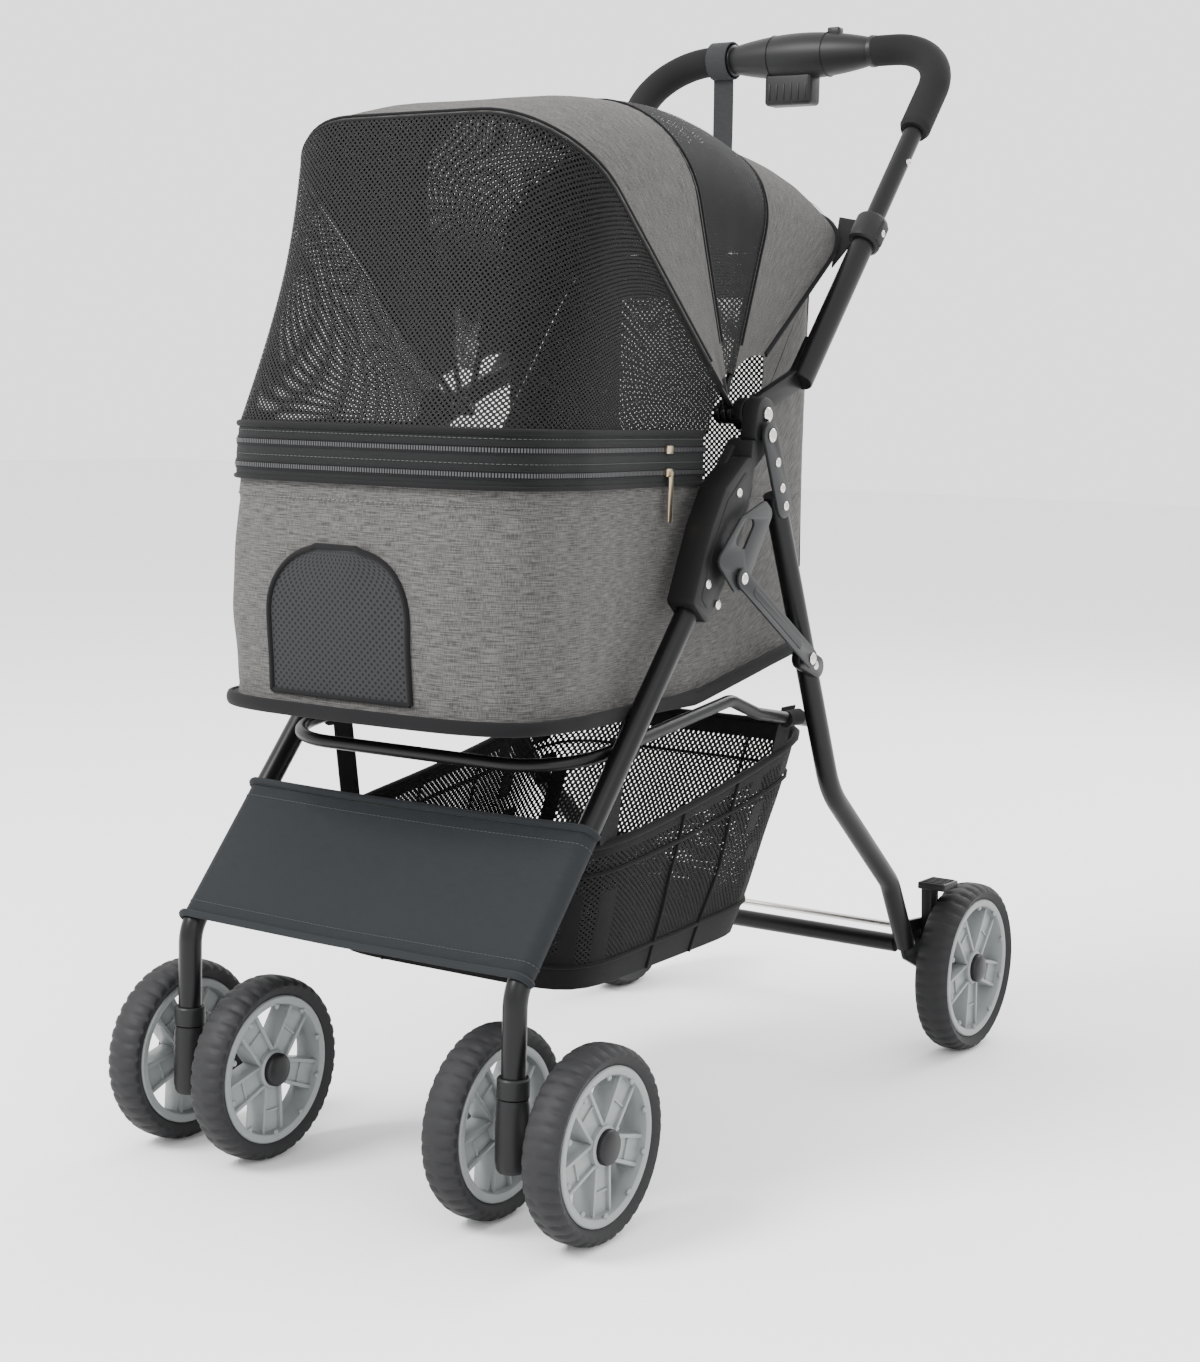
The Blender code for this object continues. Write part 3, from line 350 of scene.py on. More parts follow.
def make_finishes():
    colours, sizes = settings()
    cloth = tuple(colours.cloth)
    FINISHES.update(
        cloth=cloth_finish("Heather cloth", cloth, sizes.weave, 0.62),
        foot=cloth_finish("Slate cloth", tuple(colours.foot_cloth), 0.0008, 0.12),
        black_cloth=cloth_finish("Black cloth", (0.005, 0.005, 0.005), 0.0010, 0.15),
        band=cloth_finish("Band cloth", (0.006, 0.007, 0.007), 0.0009, 0.15),
        binding=cloth_finish("Binding tape", (0.0035, 0.0035, 0.004), 0.0007, 0.10),
        strap=cloth_finish("Strap webbing", (0.022, 0.023, 0.024), 0.0016, 0.12),
        mesh=mesh_finish("Window mesh", (0.005, 0.005, 0.005), sizes.mesh_hole, 0.36, 0.06),
        # Front window mesh: opaque, with painted shade (near-black) in its holes in place of the shaded
        # inside.
        dense_mesh=mesh_finish("Dense mesh with painted shade in holes", (0.016, 0.017, 0.018), sizes.mesh_hole * 1.2, 0.50, 1.0),
        basket_mesh=mesh_finish("Basket mesh", (0.005, 0.005, 0.005), sizes.mesh_hole * 1.1, 0.36),
        paint=grain_finish("Black powder coat", tuple(colours.frame), 0.34, 1400.0, 0.25),
        plastic=grain_finish("Black plastic", (0.007, 0.007, 0.0075), 0.46, 1700.0, 0.45),
        hub=grain_finish("Hub plastic", (0.009, 0.009, 0.010), 0.38, 1700.0, 0.3),
        rim=grain_finish("Rim plastic", tuple(colours.rim), 0.40, 1500.0, 0.35),
        tyre=grain_finish("Tyre rubber", (0.014, 0.014, 0.015), 0.62, 900.0, 0.8),
        foam=grain_finish("Foam", (0.007, 0.007, 0.007), 0.88, 1100.0, 1.0),
        plate=grain_finish("Steel plate", (0.030, 0.031, 0.032), 0.42, 1200.0, 0.3, 0.5),
        steel=grain_finish("Bright steel", (0.62, 0.60, 0.57), 0.24, 700.0, 0.2, 1.0),
        brass=grain_finish("Zip pull metal", (0.52, 0.43, 0.30), 0.30, 700.0, 0.2, 1.0),
        thread=material("Thread", 0.85, (0.10, 0.10, 0.095))[0],
        dark_thread=material("Dark thread", 0.85, (0.045, 0.045, 0.045))[0],
        zip_tooth=material("Zip teeth", 0.45, (0.030, 0.030, 0.032))[0],
    )


# ---------------------------------------------------------------- building helpers

def make(name, mesh, finish, body, replaced=(), sharp=35.0):
    """Turns a bmesh into a finished piece that moves with its body."""
    bmesh.ops.remove_doubles(mesh, verts=mesh.verts, dist=1e-6)
    for face in mesh.faces:
        face.smooth = True
    limit = math.radians(sharp)
    for edge in mesh.edges:
        edge.smooth = len(edge.link_faces) != 2 or edge.calc_face_angle(0.0) < limit
    data = bpy.data.meshes.new(name)
    mesh.to_mesh(data)
    mesh.free()
    return finish_piece(name, data, finish, body, replaced)


def finish_piece(name, data, finish, body, replaced=()):
    item = bpy.data.objects.new(name, data)
    bpy.context.scene.collection.objects.link(item)
    data.materials.clear()
    data.materials.append(FINISHES[finish])
    if body:
        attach(item, body)
    if replaced:
        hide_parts(*replaced)
    return item


def baked(curve_object):
    """The mesh that an object's modifiers or bevel give, with the object itself removed."""
    bpy.context.view_layer.update()
    graph = bpy.context.evaluated_depsgraph_get()
    data = bpy.data.meshes.new_from_object(curve_object.evaluated_get(graph))
    data.transform(curve_object.matrix_world)
    bpy.data.objects.remove(curve_object, do_unlink=True)
    return data


def bent(points, radii, steps=12):
    """The points with each inner corner turned into an arc of its own radius."""
    points = [Vector(point) for point in points]
    path = [points[0]]
    for before, corner, after, radius in zip(points, points[1:], points[2:], radii):
        inward, outward = (before - corner).normalized(), (after - corner).normalized()
        angle = inward.angle(outward)
        if radius == 0 or angle > math.radians(178):
            path.append(corner)
            continue
        reach = radius / math.tan(angle / 2)
        centre = corner + (inward + outward).normalized() * (radius / math.sin(angle / 2))
        start, end = corner + inward * reach - centre, corner + outward * reach - centre
        path += [centre + start.slerp(end, i / steps) * start.length for i in range(steps + 1)]
    return path + [points[-1]]


def resampled(points, count):
    points = [Vector(point) for point in points]
    spans = [(b - a).length for a, b in zip(points, points[1:])]
    total, path, index, passed = sum(spans), [], 0, 0.0
    for step in range(count):
        distance = total * step / (count - 1)
        while index < len(spans) - 1 and distance > passed + spans[index]:
            passed += spans[index]
            index += 1
        share = (distance - passed) / max(spans[index], 1e-9)
        path.append(points[index].lerp(points[index + 1], min(1.0, max(0.0, share))))
    return path


def tube(mesh, path, radius, segments=20):
    """Adds a round tube with closed ends; radius is one number or one for each point."""
    path = [Vector(point) for point in path]
    radii = list(radius) if hasattr(radius, "__len__") else [radius] * len(path)
    side, rings = None, []
    for i, point in enumerate(path):
        along = (path[min(i + 1, len(path) - 1)] - path[max(i - 1, 0)]).normalized()
        if side is None:
            side = along.orthogonal().normalized()
        side = (side - along * side.dot(along)).normalized()
        other = along.cross(side)
        ring = []
        for k in range(segments):
            turn = 2 * math.pi * k / segments
            ring.append(mesh.verts.new(point + (side * math.cos(turn) + other * math.sin(turn)) * radii[i]))
        rings.append(ring)
    for low, high in zip(rings, rings[1:]):
        for k in range(segments):
            j = (k + 1) % segments
            mesh.faces.new((low[k], low[j], high[j], high[k]))
    mesh.faces.new(list(reversed(rings[0])))
    mesh.faces.new(rings[-1])


def lathe(mesh, profile, centre, steps=64, closed=False, ripple=None):
    """Adds a shape turned about an axis along X from (radius, distance along X) pairs."""
    rings = []
    for radius, along in profile:
        ring = []
        for k in range(steps):
            turn = 2 * math.pi * k / steps
            r = radius + (ripple(radius, along, turn) if ripple else 0.0)
            ring.append(mesh.verts.new((
                centre[0] + along, centre[1] + r * math.cos(turn), centre[2] + r * math.sin(turn))))
        rings.append(ring)
    pairs = list(zip(rings, rings[1:])) + ([(rings[-1], rings[0])] if closed else [])
    made = []
    for low, high in pairs:
        for k in range(steps):
            j = (k + 1) % steps
            made.append(mesh.faces.new((low[k], low[j], high[j], high[k])))
    if not closed:
        made.append(mesh.faces.new(list(reversed(rings[0]))))
        made.append(mesh.faces.new(rings[-1]))
    bmesh.ops.recalc_face_normals(mesh, faces=made)


def block(mesh, low, high, bevel=0.0, matrix=None, segments=2):
    made = bmesh.ops.create_cube(mesh, size=1.0)["verts"]
    bmesh.ops.scale(mesh, vec=Vector(high) - Vector(low), verts=made)
    bmesh.ops.translate(mesh, vec=(Vector(high) + Vector(low)) / 2, verts=made)
    if matrix:
        bmesh.ops.transform(mesh, matrix=matrix, verts=made)
    if bevel:
        edges = list({edge for vert in made for edge in vert.link_edges})
        bmesh.ops.bevel(mesh, geom=edges, offset=bevel, segments=segments, affect="EDGES", profile=0.5)


def capsule(start, end, radius, steps=10):
    start, end = Vector(start), Vector(end)
    lean = math.atan2(end.y - start.y, end.x - start.x)
    outline = []
    for centre, first in ((end, lean - math.pi / 2), (start, lean + math.pi / 2)):
        for step in range(steps + 1):
            angle = first + math.pi * step / steps
            outline.append((centre.x + radius * math.cos(angle), centre.y + radius * math.sin(angle)))
    return outline


def circle(centre, radius, steps=24):
    return [(centre[0] + radius * math.cos(2 * math.pi * i / steps),
             centre[1] + radius * math.sin(2 * math.pi * i / steps)) for i in range(steps)]


def rounded(points, radius, steps=5):
    points = [Vector((*point, 0.0)) for point in points]
    outline = []
    for index, corner in enumerate(points):
        before, after = points[index - 1], points[(index + 1) % len(points)]
        inward, outward = (before - corner).normalized(), (after - corner).normalized()
        angle = inward.angle(outward)
        shortest = min((before - corner).length, (after - corner).length)
        reach = min(radius / math.tan(angle / 2), 0.45 * shortest)
        size = reach * math.tan(angle / 2)
        centre = corner + (inward + outward).normalized() * (size / math.sin(angle / 2))
        start, end = corner + inward * reach - centre, corner + outward * reach - centre
        outline += [(centre + start.slerp(end, i / steps) * start.length).to_2d() for i in range(steps + 1)]
    return outline


def plate(mesh, side, inner, outer, outline, bevel=0.0006, holes=()):
    """Adds a flat piece with softened edges; outline and holes are in the side view."""
    curve = bpy.data.curves.new("plate", "CURVE")
    curve.dimensions = "2D"
    for points in (outline, *holes):
        spline = curve.splines.new("POLY")
        spline.points.add(len(points) - 1)
        for target, point in zip(spline.points, points):
            target.co = (point[0], point[1], 0.0, 1.0)
        spline.use_cyclic_u = True
    curve.fill_mode = "BOTH"
    curve.extrude = (outer - inner) / 2 - bevel
    curve.bevel_depth = bevel
    curve.bevel_resolution = 1
    curve.offset = -bevel
    item = bpy.data.objects.new("plate", curve)
    bpy.context.scene.collection.objects.link(item)
    item.rotation_euler = (math.pi / 2, 0, math.pi / 2)
    item.location.x = side * (inner + outer) / 2
    data = baked(item)
    part = bmesh.new()
    part.from_mesh(data)
    bmesh.ops.remove_doubles(part, verts=part.verts, dist=1e-5)
    bmesh.ops.recalc_face_normals(part, faces=part.faces)
    part.to_mesh(data)
    part.free()
    mesh.from_mesh(data)
    bpy.data.meshes.remove(data)


def pin(mesh, side, inner, outer, at, radius, segments=20, dome=0.0):
    """Adds a pin along X, with a domed outer head if dome is given."""
    profile = [(radius, inner), (radius, outer)]
    if dome:
        profile = [(radius * 0.86, inner), (radius, inner + 0.0003), (radius, outer - dome)]
        profile += [(radius * math.cos(a), outer - dome + dome * math.sin(a)) for a in (0.5, 0.95, 1.3)]
    lathe(mesh, [(r, side * x) for r, x in profile], (0.0, *at), segments)


def cloth_grid(mesh, rows, thick, closed=False):
    """Adds cloth from a net of points: two skins joined round the rim, laid flat in its UV map."""
    layer = mesh.loops.layers.uv.verify()
    count, width = len(rows), len(rows[0])
    normals = []
    for i in range(count):
        line = []
        for j in range(width):
            a = rows[i][(j + 1) % width if closed else min(j + 1, width - 1)]
            b = rows[i][j - 1 if closed else max(j - 1, 0)]
            c, d = rows[min(i + 1, count - 1)][j], rows[max(i - 1, 0)][j]
            normal = (a - b).cross(c - d)
            line.append(normal.normalized() if normal.length > 1e-12 else Vector((0, 0, 1)))
        normals.append(line)
    middle = rows[count // 2]
    run = [0.0]
    for j in range(width if closed else width - 1):
        run.append(run[-1] + (middle[(j + 1) % width] - middle[j]).length)
    rise = [0.0]
    for i in range(count - 1):
        rise.append(rise[-1] + (rows[i + 1][width // 2] - rows[i][width // 2]).length)
    outer = [[mesh.verts.new(p) for p in row] for row in rows]
    inner = [[mesh.verts.new(p - n * thick) for p, n in zip(row, line)] for row, line in zip(rows, normals)]
    last = width if closed else width - 1

    def face(verts, places):
        made = mesh.faces.new(verts)
        for loop, (i, j) in zip(made.loops, places):
            loop[layer].uv = (run[j], rise[i])

    for i in range(count - 1):
        for j in range(last):
            k = (j + 1) % width
            spots = ((i, j), (i, j + 1), (i + 1, j + 1), (i + 1, j))
            face((outer[i][j], outer[i][k], outer[i + 1][k], outer[i + 1][j]), spots)
            back = (inner[i][j], inner[i + 1][j], inner[i + 1][k], inner[i][k])
            face(back, (spots[0], spots[3], spots[2], spots[1]))
    for i, flip in ((0, False), (count - 1, True)):
        for j in range(last):
            k = (j + 1) % width
            verts = (outer[i][j], inner[i][j], inner[i][k], outer[i][k])
            spots = ((i, j), (i, j), (i, j + 1), (i, j + 1))
            face(tuple(reversed(verts)) if flip else verts, tuple(reversed(spots)) if flip else spots)
    if not closed:
        for j, flip in ((0, True), (width - 1, False)):
            for i in range(count - 1):
                verts = (outer[i][j], inner[i][j], inner[i + 1][j], outer[i + 1][j])
                spots = ((i, j), (i, j), (i + 1, j), (i + 1, j))
                face(tuple(reversed(verts)) if flip else verts, tuple(reversed(spots)) if flip else spots)


def row_nodes():
    """Geometry nodes that set small blocks along curves, such as stitches and zip teeth."""
    tree = bpy.data.node_groups.new("Row along a line", "GeometryNodeTree")
    socket(tree, "Line", "NodeSocketGeometry")
    socket(tree, "Spacing", "NodeSocketFloat", value=0.004)
    socket(tree, "Size", "NodeSocketVector")
    socket(tree, "Material", "NodeSocketMaterial")
    socket(tree, "Row", "NodeSocketGeometry", "OUTPUT")
    ins, outs = tree.nodes.new("NodeGroupInput"), tree.nodes.new("NodeGroupOutput")
    spaced = tree.nodes.new("GeometryNodeResampleCurve")
    spaced.mode = "LENGTH"
    tree.links.new(ins.outputs["Line"], spaced.inputs["Curve"])
    tree.links.new(ins.outputs["Spacing"], spaced.inputs["Length"])
    cube = tree.nodes.new("GeometryNodeMeshCube")
    tree.links.new(ins.outputs["Size"], cube.inputs["Size"])
    turn = tree.nodes.new("FunctionNodeAlignRotationToVector")
    turn.axis = "X"
    tree.links.new(tree.nodes.new("GeometryNodeInputTangent").outputs[0], turn.inputs["Vector"])
    placed = tree.nodes.new("GeometryNodeInstanceOnPoints")
    tree.links.new(spaced.outputs[0], placed.inputs["Points"])
    tree.links.new(cube.outputs["Mesh"], placed.inputs["Instance"])
    tree.links.new(turn.outputs[0], placed.inputs["Rotation"])
    solid = tree.nodes.new("GeometryNodeRealizeInstances")
    tree.links.new(placed.outputs[0], solid.inputs[0])
    finish = tree.nodes.new("GeometryNodeSetMaterial")
    tree.links.new(solid.outputs[0], finish.inputs["Geometry"])
    tree.links.new(ins.outputs["Material"], finish.inputs["Material"])
    tree.links.new(finish.outputs[0], outs.inputs[0])
    return tree


def rivet_nodes():
    """Geometry nodes that set a flattened dome at each point, for rivet heads and bosses."""
    tree = bpy.data.node_groups.new("Rivet heads", "GeometryNodeTree")
    socket(tree, "Points", "NodeSocketGeometry")
    socket(tree, "Radius", "NodeSocketFloat", value=0.004)
    socket(tree, "Flatness", "NodeSocketFloat", value=0.4)
    socket(tree, "Material", "NodeSocketMaterial")
    socket(tree, "Rivets", "NodeSocketGeometry", "OUTPUT")
    ins, outs = tree.nodes.new("NodeGroupInput"), tree.nodes.new("NodeGroupOutput")
    dome = tree.nodes.new("GeometryNodeMeshUVSphere")
    dome.inputs["Segments"].default_value = 14
    dome.inputs["Rings"].default_value = 8
    tree.links.new(ins.outputs["Radius"], dome.inputs["Radius"])
    smooth_dome = tree.nodes.new("GeometryNodeSetShadeSmooth")
    tree.links.new(dome.outputs["Mesh"], smooth_dome.inputs[0])
    size = tree.nodes.new("ShaderNodeCombineXYZ")
    size.inputs["Y"].default_value = 1.0
    size.inputs["Z"].default_value = 1.0
    tree.links.new(ins.outputs["Flatness"], size.inputs["X"])
    placed = tree.nodes.new("GeometryNodeInstanceOnPoints")
    tree.links.new(ins.outputs["Points"], placed.inputs["Points"])
    tree.links.new(smooth_dome.outputs[0], placed.inputs["Instance"])
    tree.links.new(size.outputs[0], placed.inputs["Scale"])
    solid = tree.nodes.new("GeometryNodeRealizeInstances")
    tree.links.new(placed.outputs[0], solid.inputs[0])
    finish = tree.nodes.new("GeometryNodeSetMaterial")
    tree.links.new(solid.outputs[0], finish.inputs["Geometry"])
    tree.links.new(ins.outputs["Material"], finish.inputs["Material"])
    tree.links.new(finish.outputs[0], outs.inputs[0])
    return tree


def with_nodes(item, tree, finish, values):
    """Runs a geometry node group on an object and returns the plain mesh it makes."""
    modifier = item.modifiers.new("build", "NODES")
    modifier.node_group = tree
    for entry in tree.interface.items_tree:
        if entry.item_type == "SOCKET" and entry.in_out == "INPUT":
            if entry.name == "Material":
                modifier[entry.identifier] = FINISHES[finish]
            elif entry.name in values:
                modifier[entry.identifier] = values[entry.name]
    return baked(item)


def row(name, paths, spacing, size, finish, body):
    """One piece of small blocks along one or more paths."""
    curve = bpy.data.curves.new(name, "CURVE")
    curve.dimensions = "3D"
    for path in paths:
        spline = curve.splines.new("POLY")
        spline.points.add(len(path) - 1)
        for target, point in zip(spline.points, path):
            target.co = (*point, 1.0)
    item = bpy.data.objects.new(name, curve)
    bpy.context.scene.collection.objects.link(item)
    values = {"Spacing": spacing, "Size": size}
    data = with_nodes(item, shader_group("row", row_nodes), finish, values)
    return finish_piece(name, data, finish, body)


def rivets(name, points, radius, flatness, finish, body):
    data = bpy.data.meshes.new(name)
    data.from_pydata([tuple(p) for p in points], [], [])
    item = bpy.data.objects.new(name, data)
    bpy.context.scene.collection.objects.link(item)
    values = {"Radius": radius, "Flatness": flatness}
    data = with_nodes(item, shader_group("rivet", rivet_nodes), finish, values)
    return finish_piece(name, data, finish, body)


# ---------------------------------------------------------------- shared lines

def on_handle(along):
    return (HANDLE_FOOT[0] + along * math.cos(HANDLE_RAKE), HANDLE_FOOT[1] + along * math.sin(HANDLE_RAKE))


def base_top(y):
    return BASE_HEIGHT + max(0.0, y + 0.100) * 0.165


def wall_top(y):
    return RIM_HEIGHT + BACK_RISE * min(1.0, max(0.0, (y + 0.030) / 0.150))


def curve_through(points, per_span):
    padded = [points[0], *points, points[-1]]
    path = []
    for a, b, c, d in zip(padded, padded[1:], padded[2:], padded[3:]):
        for step in range(per_span):
            t = step / per_span
            weights = (-0.5 * t + t * t - 0.5 * t**3, 1 - 2.5 * t * t + 1.5 * t**3,
                       0.5 * t + 2 * t * t - 1.5 * t**3, -0.5 * t * t + 0.5 * t**3)
            path.append(tuple(sum(w * p[k] for w, p in zip(weights, (a, b, c, d))) for k in range(2)))
    return path + [points[-1]]


def cabin_line(grow, per_span=8):
    """(x, y, outward x, outward y) round the cabin, from the middle of the back by the right side."""
    right = curve_through(CABIN_HALF, per_span)
    loop = right[:-1] + [(-x, y) for x, y in reversed(right[1:])]
    line = []
    for i, (x, y) in enumerate(loop):
        ahead, behind = loop[(i + 1) % len(loop)], loop[i - 1]
        along = Vector((ahead[0] - behind[0], ahead[1] - behind[1])).normalized()
        line.append((x - along.y * grow, y + along.x * grow, -along.y, along.x))
    return line


def arch(angle, reach, half, start=0.0, grow=0.0, count=61, corner=0.085):
    """A bow's curve from its left foot over the top to its right foot."""
    lean = math.radians(angle)
    wide, top = half + grow, reach + grow
    flat = [(-wide, start, 0), (-wide, top, 0), (wide, top, 0), (wide, start, 0)]
    path = bent(flat, (corner, corner), 14)
    points = [(p.x, FOLD_PIVOT[0] + p.y * math.cos(lean), FOLD_PIVOT[1] + p.y * math.sin(lean)) for p in path]
    return resampled(points, count)


def ripple(point, scale, seed=0.0):
    """Soft noise from -1 to 1 at a place."""
    return noise.noise(Vector((point[0] * scale[0] + seed, point[1] * scale[1], point[2] * scale[2])))


# ---------------------------------------------------------------- wheels and casters

def tyre_profile(radius, width):
    half, inner = width / 2, radius - 0.0145
    right = [(inner, half * 0.74), (inner + 0.004, half * 0.90)]
    right += [(radius * out, half * wide) for out, wide in (
        (0.915, 1.0), (0.955, 0.90), (0.985, 0.66), (0.997, 0.40), (1.0, 0.12))]
    return [(r, -x) for r, x in right] + [(r, x) for r, x in reversed(right)]


def wedge(mesh, low, high, matrix):
    """A spoke's web: (x, y, half width) at its foot and at its rim."""
    corners = []
    for x in (low[0], high[0]):
        for y, half in ((low[1], low[2]), (high[1], high[2])):
            corners.append([mesh.verts.new(matrix @ Vector((x, y, z))) for z in (-half, half)])
    (a, b), (c, d), (e, f), (g, h) = corners
    sides = ((a, b, d, c), (e, g, h, f), (a, c, g, e), (b, f, h, d), (a, e, f, b), (c, d, h, g))
    faces = [mesh.faces.new(verts) for verts in sides]
    bmesh.ops.recalc_face_normals(mesh, faces=faces)


def wheel(tag, prefix, centre, radius, width, side):
    """One wheel: its tyre, its ribbed rim and its hub cap."""
    _, sizes = settings()
    half = width / 2

    def tread(r, along, turn):
        if r < radius * 0.94 or abs(along) < half * 0.30:
            return 0.0
        return -0.0016 * max(0.0, min(1.0, 2.2 * math.sin(turn * sizes.tread)))

    mesh = bmesh.new()
    lathe(mesh, tyre_profile(radius, width), centre, sizes.tread * 6, closed=True, ripple=tread)
    make(f"{tag}_tyre", mesh, "tyre", tag, [f"{prefix}_tyre_{tag_end(tag)}"], sharp=50)
    outer = radius - 0.0148
    ring = outer - 0.0068
    mesh = bmesh.new()
    lip = [(ring, 0.78), (ring + 0.0014, 0.84), (outer - 0.0010, 0.84), (outer, 0.78), (outer, -0.78),
           (outer - 0.0010, -0.84), (ring + 0.0014, -0.84), (ring, -0.78), (ring - 0.0020, -0.30),
           (ring - 0.0020, 0.30)]
    lathe(mesh, [(r, half * x) for r, x in lip], centre, 72, closed=True)
    bore, hub = 0.0046, 0.0160
    core = [(bore, 0.74), (hub - 0.0015, 0.74), (hub, 0.66), (hub + 0.0012, 0.0), (hub, -0.66),
            (hub - 0.0015, -0.74), (bore, -0.74)]
    lathe(mesh, [(r, half * x) for r, x in core], centre, 48, closed=True)
    for spoke in range(5):
        turn = math.radians(90 + 36 + 72 * spoke)
        spin = Matrix.Translation(centre) @ Matrix.Rotation(turn, 4, "X")
        middle = (hub + ring) / 2
        for sign in (-1, 1):
            lean = Matrix.Rotation(sign * math.radians(3.5), 4, "X")
            low = (-half * 0.60, hub - 0.003, sign * 0.0078 - 0.0016)
            high = (half * 0.60, ring + 0.002, sign * 0.0078 + 0.0016)
            block(mesh, low, high, 0.0006, spin @ lean)
        wedge(mesh, (-half * 0.42, hub - 0.003, 0.0085), (half * 0.42, ring + 0.002, 0.0140), spin)
        low, high = (-half * 0.52, middle - 0.0010, -0.0080), (half * 0.52, middle + 0.0010, 0.0080)
        block(mesh, low, high, 0.0004, spin)
    make(f"{tag}_rim", mesh, "rim", tag, [f"{prefix}_rim_{tag_end(tag)}"], sharp=40)
    face = side if "inner" not in tag else -side
    points, reach = [], ring - 0.004 + 0.0030
    for k in range(10):
        turn = math.radians(18 + 36 * k)
        points.append((centre[0] + face * half * 0.78, centre[1] + reach * math.cos(turn),
                       centre[2] + reach * math.sin(turn)))
    rivets(f"{tag}_bosses", points, 0.0026, 0.7, "rim", tag)
    mesh = bmesh.new()
    dome = [(0.0138, half * 0.72), (0.0138, half * 0.92), (0.0128, half * 1.02), (0.0100, half * 1.10),
            (0.0060, half * 1.15), (0.0015, half * 1.17)]
    lathe(mesh, [(r, face * x) for r, x in dome], centre, 40)
    make(f"{tag}_cap", mesh, "hub", tag)


def tag_end(tag):
    return tag.replace("front_wheel_", "").replace("rear_wheel_", "")


def build_wheels():
    for name, side in SIDES:
        for place, step in (("inner", -1), ("outer", 1)):
            centre = (side * (CASTER_X + step * TWIN_REACH), *FRONT_AXLE)
            wheel(f"front_wheel_{name}_{place}", "front", centre, FRONT_WHEEL_R, FRONT_WHEEL_WIDTH, side)
        centre = (side * REAR_WHEEL_X, *REAR_AXLE)
        wheel(f"rear_wheel_{name}", "rear", centre, REAR_WHEEL_R, REAR_WHEEL_WIDTH, side)


def build_casters():
    for name, side in SIDES:
        x, body = side * CASTER_X, f"caster_{name}"
        mesh = bmesh.new()
        path = [(x, CASTER_Y, z) for z in (0.056, 0.059, 0.064, 0.100, 0.108, 0.112)]
        tube(mesh, path, (0.0105, 0.0124, 0.0130, 0.0130, 0.0124, 0.0116), 32)
        outline = [(CASTER_Y - 0.004, 0.092), (CASTER_Y + 0.006, 0.094), (FRONT_AXLE[0] + 0.004, 0.0895),
                   (FRONT_AXLE[0] + 0.013, 0.076), (FRONT_AXLE[0] + 0.006, 0.0635), (CASTER_Y, 0.061)]
        plate(mesh, side, CASTER_X - 0.0105, CASTER_X + 0.0105, rounded(outline, 0.005), 0.0018)
        reach = TWIN_REACH - FRONT_WHEEL_WIDTH / 2 - 0.0006
        lathe(mesh, [(0.0118, x - reach), (0.0124, x - reach + 0.0008), (0.0124, x + reach - 0.0008),
                     (0.0118, x + reach)], (0.0, *FRONT_AXLE), 32)
        make(f"{body}_fork", mesh, "plastic", body, [f"caster_fork_{name}"])
        mesh = bmesh.new()
        lathe(mesh, [(0.0040, x - 0.056), (0.0040, x + 0.056)], (0.0, *FRONT_AXLE), 20)
        make(f"{body}_spindle", mesh, "steel", body)
        mesh = bmesh.new()
        path = [(x, CASTER_Y, z) for z in (0.1128, 0.1135, 0.1270, 0.1283)]
        tube(mesh, path, (0.0118, 0.0126, 0.0126, 0.0116), 32)
        make(f"caster_collar_{name}", mesh, "plastic", "front_frame")


# ---------------------------------------------------------------- frame

